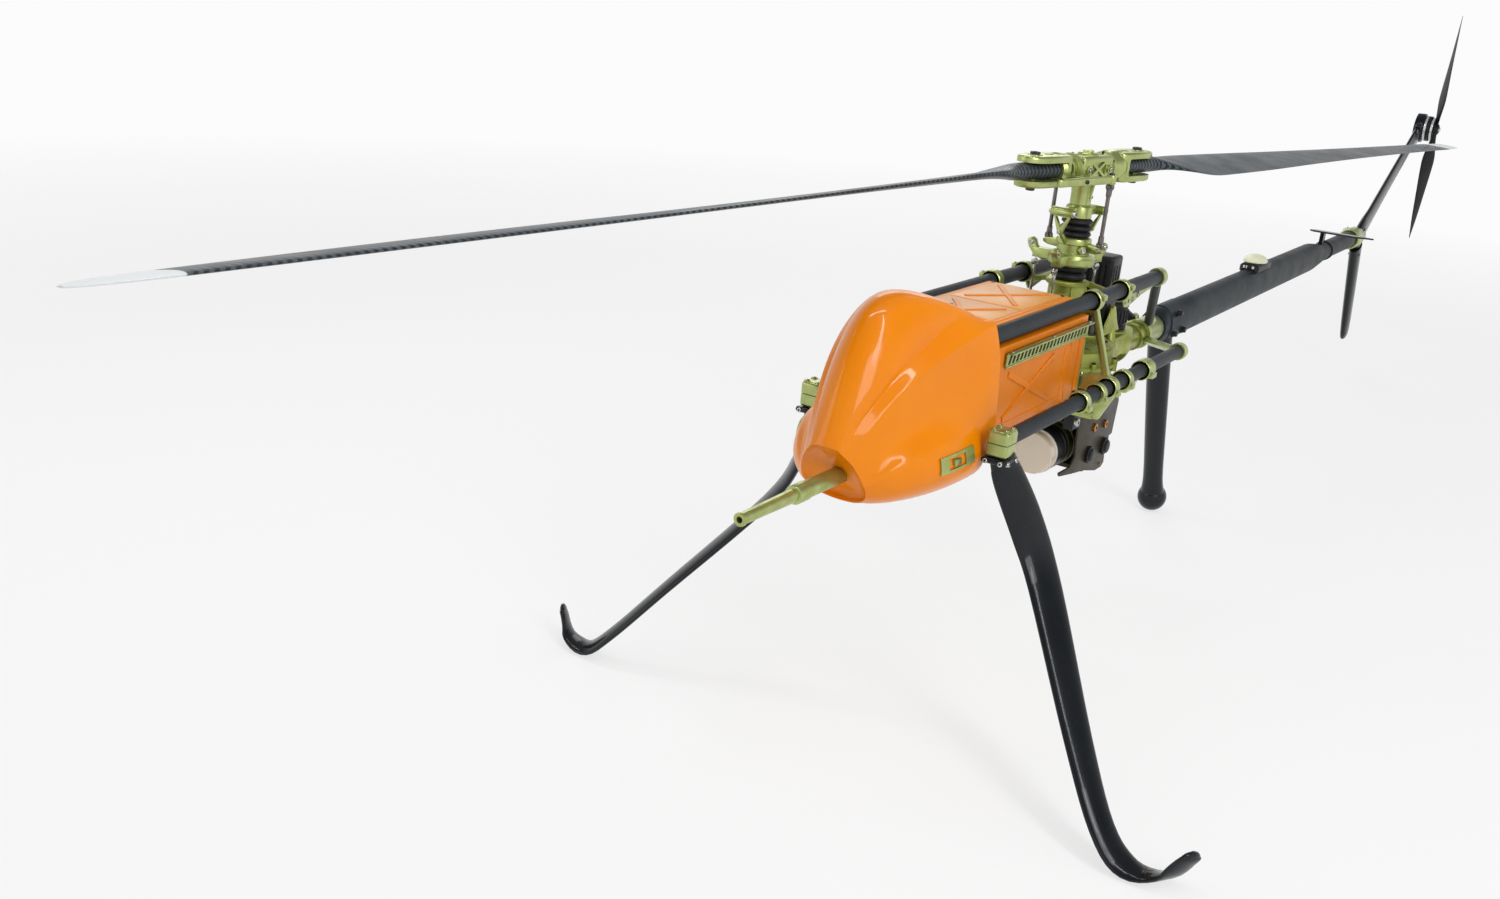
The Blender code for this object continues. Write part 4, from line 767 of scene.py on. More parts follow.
def refined(node, name, edge=0.0007, steps=2, angle=32):
    # a copy of a CAD node with merged points and softened edges, ready for more work
    piece = bpy.data.objects.new(name, nodes[node].data.copy())
    scene.collection.objects.link(piece)
    editAll(piece, "VERT")
    bpy.ops.mesh.remove_doubles(threshold=0.00001)
    bpy.ops.mesh.select_all(action="SELECT")
    bpy.ops.mesh.dissolve_limited(angle_limit=math.radians(0.6))
    leaveEdit()
    return soften(piece, edge, steps, angle)


def makeBoltHead():
    # a socket head one unit across and high, which the bolt sets below copy
    clearSelection()
    bpy.ops.mesh.primitive_cylinder_add(vertices=20, radius=1, depth=1, location=(0, 0, 0.5))
    head = bpy.context.object
    settle(head)
    editAll(head)
    bpy.ops.mesh.select_all(action="DESELECT")
    leaveEdit()
    for face in head.data.polygons:
        face.select = face.normal.z > 0.9
    bpy.ops.object.mode_set(mode="EDIT")
    bpy.ops.mesh.inset(thickness=0.16, depth=0)
    bpy.ops.mesh.inset(thickness=0.36, depth=0)
    bpy.ops.mesh.extrude_region_move(TRANSFORM_OT_translate={"value": (0, 0, -0.6)})
    leaveEdit()
    for vertex in head.data.vertices:
        if vertex.co.z > 0.9 and math.hypot(vertex.co.x, vertex.co.y) > 0.95:
            vertex.co.z = 0.82
    return smoothAt(makeOutward(head), 35)


boltHead = makeBoltHead()


def boltSet(name, places, finish="boltDark", body="airframe", matrix=None):
    # each place is a foot point, the way the head faces, its radius and its height
    copies = []
    for point, way, radius, height in places:
        copy = bpy.data.objects.new(name, boltHead.data.copy())
        scene.collection.objects.link(copy)
        copy.data.transform(axisPlace(point, way) @ Matrix.Diagonal((radius, radius, height, 1)))
        copies.append(copy)
    piece = fuse(name, copies)
    if matrix is not None:
        piece.data.transform(matrix)
    return dress(piece, finish, body)


# nose

cowlSetup = {"rear": -0.500, "wall": 0.003, "probeDrop": 0.352, "probeRadius": 0.0118, "smooth": 3,
             "lipCrease": 0.8, "screws": (-0.034, -0.012, 0.012, 0.034)}
cowlGuides = [
    # each guide line runs from the rear rim to the lip of the chin; they go round from the top to the belly
    [(0, 0.153), (0, -0.635, 0.082), (0, -0.715, 0.118), (0, -0.762, 0.302)],
    [(0.032, 0.154), (0.036, -0.625, 0.092), (0.034, -0.700, 0.132), (0.010, -0.761, 0.303)],
    [(0.060, 0.156), (0.042, -0.612, 0.096), (0.064, -0.694, 0.213), (0.018, -0.759, 0.304)],
    [(0.066, 0.158), (0.065, -0.580, 0.137), (0.043, -0.712, 0.232), (0.021, -0.757, 0.306)],
    [(0.097, 0.163), (0.094, -0.589, 0.183), (0.050, -0.709, 0.212), (0.035, -0.745, 0.322)],
    [(0.110, 0.200), (0.097, -0.580, 0.215), (0.062, -0.700, 0.262), (0.043, -0.738, 0.337)],
    [(0.115, 0.260), (0.101, -0.580, 0.265), (0.070, -0.700, 0.290), (0.046, -0.732, 0.348)],
    [(0.118, 0.315), (0.122, -0.580, 0.290), (0.090, -0.715, 0.295), (0.048, -0.726, 0.358)],
    [(0.128, 0.348), (0.150, -0.600, 0.345), (0.105, -0.720, 0.345), (0.046, -0.716, 0.374)],
    [(0.085, 0.384), (0.100, -0.600, 0.393), (0.065, -0.700, 0.393), (0.028, -0.706, 0.385)],
    [(0, 0.390), (0, -0.600, 0.400), (0, -0.690, 0.396), (0, -0.702, 0.388)],
]
cowlRidges = {3: 0.78, 4: 0.72, 7: 0.66}
cowlHollows = {5: 0.006, 6: 0.0065}
cowlHollowShares = {2: 0.6, 3: 1, 4: 1, 5: 0.6}
cowlShares = [0, 0.09, 0.16, 0.32, 0.5, 0.68, 0.85, 1]


def curvePoint(points, share):
    a, b, c, d = points
    rest = 1 - share
    return a * rest ** 3 + b * (3 * rest ** 2 * share) + c * (3 * rest * share ** 2) + d * share ** 3


def rounded(point):
    return tuple(round(value, 5) for value in point)


def buildCowl():
    probe = spot(0, -0.730, 0.354)
    hole = 0.4 * probeSetup["radius"]
    columns = []
    for i, (start, *rest) in enumerate(cowlGuides):
        guide = [spot(start[0], cowlSetup["rear"], start[1])] + [spot(*row) for row in rest]
        points = [curvePoint(guide, share) for share in cowlShares]
        for row, share in cowlHollowShares.items():
            points[row].x -= cowlHollows.get(i, 0) * share
        angle = math.pi * i / (len(cowlGuides) - 1)
        rim = probe + Vector((hole * math.sin(angle), 0, hole * math.cos(angle)))
        points.append(points[-1].lerp(rim, 0.12) + Vector((0, 0.012, 0)))
        points.append(points[-1].lerp(rim, 0.50) + Vector((0, 0.014, 0)))
        points.append(rim + Vector((0, 0.022, 0)))
        columns.append(points)
    cowl = skin("noseCowl", columns, closed=False)
    last = len(cowlShares) - 1
    crease = cowl.data.attributes.new("crease_edge", "FLOAT", "EDGE")
    ridgePoints = {rounded(columns[index][row]): index for index in cowlRidges for row in range(last + 1)}
    lipPoints = {rounded(column[last]) for column in columns}
    for edge in cowl.data.edges:
        ends = [rounded(cowl.data.vertices[i].co) for i in edge.vertices]
        ridge, other = (ridgePoints.get(end) for end in ends)
        if ridge is not None and ridge == other:
            crease.data[edge.index].value = cowlRidges[ridge]
        if all(end in lipPoints for end in ends):
            crease.data[edge.index].value = cowlSetup["lipCrease"]
    middle = cowl.data.polygons[len(cowl.data.polygons) // 2]
    if middle.normal.x < 0:
        editAll(cowl)
        bpy.ops.mesh.flip_normals()
        leaveEdit()
    mirror = cowl.modifiers.new("otherSide", "MIRROR")
    mirror.merge_threshold = 0.0001
    rounder = cowl.modifiers.new("rounder", "SUBSURF")
    rounder.levels = cowlSetup["smooth"]
    rounder.render_levels = cowlSetup["smooth"]
    rounder.boundary_smooth = "PRESERVE_CORNERS"
    applyAll(cowl)
    wall = cowl.modifiers.new("wall", "SOLIDIFY")
    wall.thickness = cowlSetup["wall"]
    wall.offset = -1
    applyAll(cowl)
    drop = cowlSetup["probeDrop"]
    cutAway(
        cowl, rod("probeHole", spot(0, -0.60, drop), spot(0, -0.80, drop), cowlSetup["probeRadius"], edge=0))
    cutAway(cowl, block("chinNotch", (-0.2, -0.541 + mastY, 0), (0.2, -0.48 + mastY, hubHeight - 0.333), 0))
    for sign in sides.values():
        x = sign * 0.146
        cutAway(cowl, block("clampSpace", (x - 0.0173, -0.5608 + mastY, 0.4592),
                            (x + 0.0173, -0.5192 + mastY, 0.4993), 0))
        cutAway(cowl, rod("lowerTubeSpace", spot(x, -0.6, 0.3075), spot(x, -0.4, 0.3075), 0.0118, edge=0))
        cutAway(cowl, rod("upperTubeSpace", spot(sign * 0.086, -0.5272, 0.187),
                          spot(sign * 0.086, -0.4, 0.187), 0.0123, edge=0))
    smoothAt(cowl, 38)
    return dress(cowl, "noseOrangePaint", standsFor=["nose_cowl"])


def buildCowlScrews():
    boltSet(
        "cowlScrews", [(spot(x, -0.517, 0.1475), (0, 0.12, 1), 0.0042, 0.0024) for x in cowlSetup["screws"]])
    washers = [rod("washer", spot(x, -0.517, 0.1495), spot(x, -0.5167, 0.1470), 0.0058, sides=24, edge=0.0003)
               for x in cowlSetup["screws"]]
    dress(fuse("cowlWashers", washers), "boltSteel")


probeSetup = {"radius": 0.0115, "collar": 0.0127, "front": 0.0090, "tip": 0.0076, "bore": 0.0042}


def buildProbe():
    radius, bore = probeSetup["radius"], probeSetup["bore"]
    start = spot(0, -0.800, 0.352)
    profile = [
        (0, -0.2667), (radius, -0.2667), (radius, -0.010), (radius - 0.0008, -0.008),
        (radius - 0.0008, -0.004), (probeSetup["collar"], -0.004), (probeSetup["collar"], 0.020),
        (probeSetup["collar"] - 0.001, 0.022), (probeSetup["front"], 0.0225), (probeSetup["front"], 0.030),
        (probeSetup["tip"], 0.135), (probeSetup["tip"] + 0.0012, 0.136), (probeSetup["tip"] + 0.0012, 0.1392),
        (probeSetup["tip"], 0.140), (bore, 0.140), (bore, 0.112), (0, 0.112)]
    probe = turned("airProbe", profile, axisPlace(start, (0, -1, 0)))
    dress(probe, "anodisedGreen", standsFor=["nose_probe"])
    # a dark disc inside the bore at the probe's tip: painted shade that makes the bore look dark
    groove = rod("probeBoreShade", spot(0, -0.915, 0.352), spot(0, -0.927, 0.352), 0.0040, edge=0)
    dress(groove, "bellowsRubber")


latchSetup = {"front": -0.640, "rear": -0.572, "top": 0.312, "height": 0.022, "fall": 0.008, "lift": 0.0006,
              "wall": 0.0026, "knobShare": 0.46, "knobDrop": 0.0155}


def onFlank(cowl, sign, y, z):
    # the place on the cowl's flank beside a point of its centre plane
    return cowl.ray_cast(Vector((sign * 0.3, y, z)), Vector((-sign, 0, 0)))[1]


def buildLatches(cowl):
    # thin plates that follow the cowl's flank, each with an opening and a knob
    across, up = 14, 6
    front, length = latchSetup["front"], latchSetup["rear"] - latchSetup["front"]
    top = hubHeight - latchSetup["top"]
    for side, sign in sides.items():
        mesh = bmesh.new()
        rows = []
        for j in range(up + 1):
            row = []
            for i in range(across + 1):
                y = front + length * i / across + mastY
                z = top - latchSetup["height"] * j / up - latchSetup["fall"] * (1 - i / across)
                row.append(
                    mesh.verts.new(onFlank(cowl, sign, y, z) + Vector((sign * latchSetup["lift"], 0, 0))))
            rows.append(row)
        for j in range(up):
            for i in range(across):
                if 3 <= i <= 9 and 1 <= j <= 4:
                    continue
                mesh.faces.new([rows[j][i], rows[j][i + 1], rows[j + 1][i + 1], rows[j + 1][i]])
        data = bpy.data.meshes.new("noseLatch" + side)
        mesh.to_mesh(data)
        mesh.free()
        latch = bpy.data.objects.new("noseLatch" + side, data)
        scene.collection.objects.link(latch)
        if data.polygons[0].normal.x * sign < 0:
            editAll(latch)
            bpy.ops.mesh.flip_normals()
            leaveEdit()
        wall = latch.modifiers.new("wall", "SOLIDIFY")
        wall.thickness = latchSetup["wall"]
        wall.offset = 1
        applyAll(latch)
        place = onFlank(
            cowl, sign, front + length * latchSetup["knobShare"] + mastY, top - latchSetup["knobDrop"])
        knob = block("knob", place + Vector((-0.004, -0.0085, -0.0045)),
                     place + Vector((0.004, 0.0085, 0.0045)), 0.0012)
        dress(fuse("noseLatch" + side, [smoothAt(latch), knob]), "anodisedGreen",
              standsFor=["nose_latch_" + side.lower()])


cowl = buildCowl()
buildCowlScrews()
buildProbe()
buildLatches(cowl)
print("nose is built")


# batteries, rails and frame tubes

packSetup = {"front": -0.5267, "rear": -0.155, "half": 0.100, "top": 0.2005, "bottom": 0.335, "lidHalf": 0.072,
             "lidTop": 0.178}


def crossBars(name, centre, reach, rise, width, thickness, place):
    # two crossing bars, drawn in a plane
    bars = []
    length = math.hypot(reach, rise)
    for sign, share in ((1, 1), (-1, 0.8)):
        along = Vector((reach / length, sign * rise / length))
        side = Vector((-along.y, along.x)) * (width / 2)
        middle = Vector(centre)
        ends = [middle - along * length / 2, middle + along * length / 2]
        outline = [ends[0] - side, ends[1] - side, ends[1] + side, ends[0] + side]
        bars.append(plate(name, [tuple(point) for point in outline], thickness * share, place, 0.0005, 2))
    return fuse(name, bars)


def buildPack():
    front, rear = packSetup["front"] + mastY, packSetup["rear"] + mastY
    half = packSetup["half"]
    top, bottom = hubHeight - packSetup["top"], hubHeight - packSetup["bottom"]
    pack = block("batteryPack", (-half, front, bottom), (half, rear, top), 0)
    for sign in sides.values():
        x = sign * half
        # a shallow panel on each side, a groove near its rear end and a step at its rear foot
        cutAway(pack, block("panel", (x - 0.0012, front + 0.050, bottom + 0.018),
                            (x + 0.01, rear - 0.075, top - 0.040), 0))
        for low, high in ((0.052, 0.058), (0.018, 0.0215)):
            cutAway(pack, block("groove", (x - 0.0018, rear - high, bottom - 0.01),
                                (x + 0.01, rear - low, top - 0.034), 0))
        cutAway(pack, block("footStep", (x - sign * 0.007, rear - 0.040, bottom - 0.01),
                            (x + sign * 0.01, rear + 0.01, bottom + 0.016), 0))
        cutAway(pack, block("bottomLine", (x - 0.0010, front - 0.01, bottom + 0.0050),
                            (x + 0.01, rear + 0.01, bottom + 0.0066), 0))
    soften(pack, 0.0016, 3)
    dress(pack, "batteryOrange", standsFor=["battery_pack"])
    for side, sign in sides.items():
        place = alongX(sign * (half - 0.0004))
        bars = crossBars("bars", ((front + rear) / 2 - 0.014, (top + bottom) / 2 - 0.010), 0.165, 0.066, 0.009,
                         0.0022, place)
        bar = block("bar", (sign * (half - 0.0015), rear - 0.060, bottom + 0.020),
                    (sign * (half + 0.0006), rear - 0.0555, top - 0.042), 0.0005)
        dress(fuse("packRibs" + side, [bars, bar]), "batteryOrange")


def buildLid():
    front, rear = packSetup["front"] + mastY, packSetup["rear"] + mastY
    half = packSetup["lidHalf"]
    low = hubHeight - packSetup["top"] + 0.0003
    high = hubHeight - packSetup["lidTop"]
    clearSelection()
    bpy.ops.mesh.primitive_cube_add(size=1, location=(0, (front + rear) / 2, (low + high - 0.0014) / 2))
    lid = bpy.context.object
    lid.name = "batteryLid"
    lid.scale = (2 * half, rear - front, high - low - 0.0014)
    settle(lid)
    for face in lid.data.polygons:
        face.select = face.normal.z > 0.9
    bpy.ops.object.mode_set(mode="EDIT")
    bpy.ops.mesh.select_mode(type="FACE")
    bpy.ops.mesh.inset(thickness=0.006, depth=0)
    bpy.ops.mesh.extrude_region_move(TRANSFORM_OT_translate={"value": (0, 0, 0.0014)})
    leaveEdit()
    soften(lid, 0.0012, 3)
    dress(lid, "lidOrange", standsFor=["battery_lid"])
    pads = []
    bars = []
    for start, end in ((front + 0.048, front + 0.200), (front + 0.206, rear - 0.012)):
        pads.append(
            block("pad", (-half + 0.014, start, high - 0.001), (half - 0.014, end, high + 0.0008), 0.0006))
        middle = (start + end) / 2
        bars.append(crossBars("bars", (0, middle), 2 * half - 0.062, end - start - 0.030, 0.008, 0.0030,
                              shift(0, 0, high + 0.0010)))
    dress(fuse("lidPads", pads), "lidPaleOrange")
    dress(fuse("lidBars", bars), "lidOrange")
    boltSet("lidScrews", [(spot(x, y, packSetup["lidTop"] - 0.0002), (0, 0, 1), 0.0030, 0.0016)
                          for x in (-0.058, 0.058) for y in (-0.168, -0.500)], "boltDark")


railSetup = {"inner": 0.102, "top": 0.209, "bottom": 0.231, "front": -0.462, "rear": -0.157, "slots": 22,
             "slant": 0.0030, "slotHalf": 0.0042}


def buildRails():
    front, rear = railSetup["front"], railSetup["rear"]
    top, bottom = railSetup["top"], railSetup["bottom"]
    pitch = (rear - front - 0.012) / railSetup["slots"]
    half, slant = railSetup["slotHalf"], railSetup["slant"]
    for side, sign in sides.items():
        inner = sign * railSetup["inner"]
        web = block("web", spot(inner, front, bottom), spot(inner + sign * 0.002, rear, top), 0)
        cutters = []
        for i in range(railSetup["slots"]):
            y = front + 0.006 + pitch * (i + 0.5) + mastY
            low, high = hubHeight - bottom + 0.0040, hubHeight - top - 0.0050
            corners = [(y - half - slant, low), (y + half - slant, low), (y + half + slant, high),
                       (y - half + slant, high)]
            cutters.append(plate("slot", corners, 0.012, alongX(inner), 0))
        cutAway(web, fuse("slots", cutters))
        shelf = block("shelf", spot(inner, front, top + 0.002), spot(inner + sign * 0.011, rear, top), 0.0004)
        lip = block("lip", spot(inner + sign * 0.0005, front, bottom),
                    spot(inner + sign * 0.0032, rear, bottom - 0.0022), 0.0004)
        dress(fuse("batteryRail" + side, [smoothAt(web), shelf, lip]), "anodisedGreen",
              standsFor=["battery_rail_" + side.lower()])
    boltSet("railScrews", [(spot(sign * 0.1070, y, 0.209), (0, 0, 1), 0.0028, 0.0016)
                           for sign in sides.values() for y in (-0.452, -0.306, -0.163)], "boltSteel")
    for side, sign in sides.items():
        # a dark sheet just inside each rail's web, behind its slots: painted shade that makes the slots look
        # dark
        shade = block("paintedSlotShade", spot(sign * 0.1003, -0.458, 0.2278), spot(sign * 0.1007, -0.162, 0.2132), 0)
        dress(shade, "bellowsRubber").name = "paintedSlotShade" + side
        ends = block("packEdge", spot(sign * 0.082, -0.1548, 0.238), spot(sign * 0.1012, -0.1530, 0.322),
                     0.0004)
        dress(ends, "anodisedGreen").name = "packEndPlate" + side


tubeSetup = {
    "upperSpread": 0.086, "upperDrop": 0.187, "upperRadius": 0.012, "lowerSpread": 0.146, "lowerDrop": 0.3075,
    "lowerRadius": 0.011, "fronts": {"upper": -0.5267, "lower": -0.549}, "rear": 0.200}


def tubeLine(level, sign):
    return sign * tubeSetup[level + "Spread"], tubeSetup[level + "Drop"], tubeSetup[level + "Radius"]


def buildTubes():
    for side, sign in sides.items():
        for level, start in tubeSetup["fronts"].items():
            spread, drop, radius = tubeLine(level, sign)
            tube = rod(level + "Tube" + side, spot(spread, start, drop), spot(spread, tubeSetup["rear"], drop),
                       radius, sides=48, edge=0.001)
            dress(tube, "tubeWrap", standsFor=[f"frame_tube_{level}_{side.lower()}"])


buildPack()
buildLid()
buildRails()
buildTubes()
dress(refined("nose_bulkhead", "noseBulkhead", 0.0005), "anodisedGreen", standsFor=["nose_bulkhead"])
print("batteries, rails and tubes are built")


# frame fittings, gearbox and mast

ringPlaces = [
    # level, distance from the mast and half width
    ("upper", -0.109, 0.009), ("upper", 0.019, 0.008), ("lower", -0.264, 0.007), ("lower", -0.197, 0.007),
    ("lower", -0.144, 0.009), ("lower", -0.080, 0.008), ("lower", 0.019, 0.015),
]


def buildRingBands():
    # each clamp ring has a raised band and a split lug with its screw
    bands = []
    screws = []
    for sign in sides.values():
        for level, y, half in ringPlaces:
            spread, drop, radius = tubeLine(level, sign)
            outer = radius + 0.0058
            profile = [
                (radius + 0.0006, -half), (outer - 0.001, -half), (outer, -half + 0.001),
                (outer, half - 0.001), (outer - 0.001, half), (radius + 0.0006, half), (radius + 0.0006, -half)]
            bands.append(turned("band", profile, axisPlace(spot(spread, y, drop), (0, 1, 0)), 40, 30))
            way = -1 if level == "lower" else 1
            lugX = spread + sign * (outer - 0.0045)
            lugZ = drop - way * (outer - 0.0045) * 0.55
            bands.append(block("lug", spot(lugX, y - half * 0.72, lugZ - 0.0042),
                               spot(lugX + sign * 0.0085, y + half * 0.72, lugZ + 0.0042), 0.0012))
            screws.append((spot(lugX + sign * 0.0045, y, lugZ - 0.0040), (0, 0, 1), 0.0028, 0.0020))
            screws.append((spot(lugX + sign * 0.0045, y, lugZ + 0.0040), (0, 0, -1), 0.0026, 0.0016))
    dress(fuse("tubeRings", bands), "anodisedGreen")
    boltSet("ringScrews", screws, "boltSteel")


fittings = {
    # node: piece, width of its softened edges
    "frame_bracket_front": ("frontBracket", 0.0008),
    "frame_bracket_rear": ("rearBracket", 0.0008),
    "battery_tray": ("batteryTray", 0.0007),
    "payload_hanger": ("payloadHanger", 0.0007),
    "rear_spider": ("rearSpider", 0.0009),
}


def buildBrackets():
    for node, (name, edge) in fittings.items():
        piece = refined(node, name, edge)
        if name == "frontBracket":
            # the leaning yoke is open between its slim outer bars
            lean = 0.035 / 0.1205
            leaning = Matrix(
                ((1, 0, 0, 0), (0, lean, -1, -0.144 + mastY - lean * 0.4805), (0, 1, 0, 0), (0, 0, 0, 1)))
            for sign in sides.values():
                window = [(sign * 0.048, 0.4945), (sign * 0.112, 0.4945), (sign * 0.1315, 0.4990),
                          (sign * 0.0945, 0.5790), (sign * 0.0740, 0.5790)]
                cutAway(piece, plate("window", window, 0.03, leaning, 0))
        dress(piece, "anodisedGreen", standsFor=[node])
    places = []
    for sign in sides.values():
        for x, drop, y in ((0.060, 0.2905, -0.139), (0.100, 0.2960, -0.141), (0.084, 0.222, -0.118)):
            places.append((spot(sign * x, y - 0.006, drop), (0, -1, 0.26), 0.0036, 0.0024))
        for x in (0.070, 0.112):
            places.append((spot(sign * x, 0.019, 0.3375), (0, 0, 1), 0.0034, 0.0024))
            places.append((spot(sign * x, 0.0312, 0.3445), (0, 1, 0), 0.0030, 0.0020))
        for y in (-0.264, -0.197):
            places.append((spot(sign * 0.104, y - 0.0082, 0.3388), (0, -1, 0), 0.0026, 0.0018))
    boltSet("bracketBolts", places, "boltSteel")
    # triangular gussets below the rear ends of the upper tubes
    for side, sign in sides.items():
        outline = sideView([(0.028, 0.1985), (0.186, 0.1985), (0.176, 0.2025), (0.118, 0.2090),
                            (0.092, 0.2150), (0.062, 0.2210), (0.046, 0.2195)])
        gusset = plate("gusset", outline, 0.003, alongX(sign * 0.086), 0.0006)
        for y, drop, radius in ((0.062, 0.2105, 0.0035), (0.140, 0.2025, 0.0015)):
            cutAway(
                gusset, rod("hole", spot(sign * 0.08, y, drop), spot(sign * 0.092, y, drop), radius, edge=0))
        dress(smoothAt(gusset), "anodisedGreen").name = "upperGusset" + side
        boltSet("gussetBolts" + side,
                [(spot(sign * 0.0873, 0.106, 0.2052), (sign, 0, 0), 0.0050, 0.0026),
                 (spot(sign * 0.0873, 0.084, 0.2110), (sign, 0, 0), 0.0040, 0.0022),
                 (spot(sign * 0.0873, 0.046, 0.2120), (sign, 0, 0), 0.0026, 0.0020)], "boltSteel")


gearSetup = {"top": 0.285, "bottom": 0.337, "motorY": 0.232, "ribs": 7, "bossReach": 0.0985}


def flatWay(degrees):
    return Vector((math.cos(math.radians(degrees)), math.sin(math.radians(degrees)), 0))


def buildGearbox():
    gearbox = refined("main_gearbox", "gearboxCase", 0.0016, 3)
    dress(gearbox, "castGreen", standsFor=["main_gearbox"])
    top, bottom = hubHeight - gearSetup["top"], hubHeight - gearSetup["bottom"]
    seam = (top + bottom) / 2
    cover = turned("cover", [(0.050, 0.0), (0.091, 0.0), (0.0915, 0.0015), (0.088, 0.0032), (0.054, 0.0036),
                             (0.050, 0.005), (0.044, 0.005), (0.0430, 0.0), (0.050, 0.0)], atMast(top), 56)
    lower = turned("lower", [(0.040, -0.006), (0.080, -0.006), (0.086, 0.0), (0.040, 0.0), (0.040, -0.006)],
                   atMast(bottom), 56)
    pieces = [cover, lower]
    bolts = []
    for i in range(gearSetup["ribs"]):
        way = flatWay(-150 + i * 40)
        rib = block("rib", (0.046, -0.0016, 0.002), (0.090, 0.0016, 0.0085), 0.0007)
        for vertex in rib.data.vertices:
            if vertex.co.x > 0.07:
                vertex.co.z = min(vertex.co.z, 0.0045)
        rib.data.transform(atMast(top, -150 + i * 40))
        pieces.append(rib)
        low, high = (Vector((0, mastY, seam + rise)) + way * gearSetup["bossReach"] for rise in (-0.010, 0.010))
        pieces.append(rod("boss", low, high, 0.0048, sides=20))
        bolts.append((high, (0, 0, 1), 0.0032, 0.0028))
        between = Matrix.Rotation(math.radians(20), 3, "Z") @ way * 0.080
        bolts.append((Vector((0, mastY, top + 0.0034)) + between, (0, 0, 1), 0.0030, 0.0022))
    dress(fuse("gearboxCover", pieces), "castGreen")
    y = gearSetup["motorY"]
    neck = turned(
        "neck", [(0.0265, 0.0), (0.0345, 0.0), (0.0350, 0.0015), (0.0350, 0.0075), (0.0300, 0.0090),
                 (0.0290, 0.030), (0.0275, 0.034), (0.0265, 0.034), (0.0265, 0.0)],
        axisPlace(spot(0, y + 0.040, 0.338), (0, 1, 0.02)), 40)
    band = turned("bandBack", [(0.0230, 0.0), (0.0262, 0.0), (0.0262, 0.010), (0.0230, 0.010), (0.0230, 0.0)],
                  axisPlace(spot(0, 0.375, 0.340), (0, 1, 0)), 40)
    dress(fuse("spigotNeck", [neck, band]), "castGreen")
    for i in range(6):
        angle = math.radians(30 + i * 60)
        bolts.append((spot(0.0315 * math.cos(angle), y + 0.0475, 0.338 - 0.0315 * math.sin(angle)), (0, 1, 0),
                      0.0024, 0.0020))
    boltSet("gearboxBolts", bolts, "boltDark")
    # tall webs beside the controller
    webs = []
    for sign in sides.values():
        outline = sideView([(0.092, 0.2860), (0.176, 0.2860), (0.160, 0.2700), (0.140, 0.2400),
                            (0.132, 0.2370), (0.125, 0.2420)])
        webs.append(plate("web", outline, 0.004, alongX(sign * 0.041), 0.0008))
    dress(fuse("gearboxWebs", webs), "castGreen")


def buildDrive():
    foot = hubHeight - gearSetup["top"] - 0.012 + 0.0003
    top = hubHeight - 0.245
    radius = 0.034
    profile = [
        (0, foot), (radius - 0.001, foot), (radius, foot + 0.001), (radius, foot + 0.007),
        (radius - 0.0015, foot + 0.008), (radius - 0.0015, foot + 0.010), (radius, foot + 0.011),
        (radius, top - 0.016), (radius - 0.0015, top - 0.015), (radius - 0.0015, top - 0.012),
        (radius, top - 0.011), (radius, top - 0.005), (radius - 0.004, top - 0.001), (0.020, top),
        (0.018, top - 0.003), (0.009, top - 0.003), (0.008, top), (0, top)]
    place = shift(0, gearSetup["motorY"] + mastY, 0)
    motor = turned("driveMotor", profile, place, 48)
    dress(motor, "plasticBlack", standsFor=["drive_motor"])
    fins = []
    for i in range(24):
        fin = block("fin", (radius - 0.002, -0.0011, foot + 0.012), (radius + 0.0014, 0.0011, top - 0.017),
                    0.0004, 1)
        fin.data.transform(place @ Matrix.Rotation(math.radians(i * 15), 4, "Z"))
        fins.append(fin)
    dress(fuse("motorFins", fins), "plasticBlack")
    low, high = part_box("controller_box")
    box = block("controllerBox", low, high, 0.006, 4)
    for i in range(5):
        x = -0.020 + i * 0.010
        cutAway(box, block("groove", (x - 0.0018, low.y - 0.01, high.z - 0.070),
                           (x + 0.0018, low.y + 0.0022, high.z - 0.014), 0))
    for y in (low.y + 0.014, low.y + 0.026, low.y + 0.038):
        cutAway(box, block("groove", (high.x - 0.0018, y - 0.002, high.z - 0.066),
                           (high.x + 0.01, y + 0.002, high.z - 0.016), 0))
    dress(smoothAt(box), "plasticBlack", standsFor=["controller_box"])


mastSetup = {"housing": 0.030, "foot": 0.2847, "top": 0.1905, "lift": 0.0085}


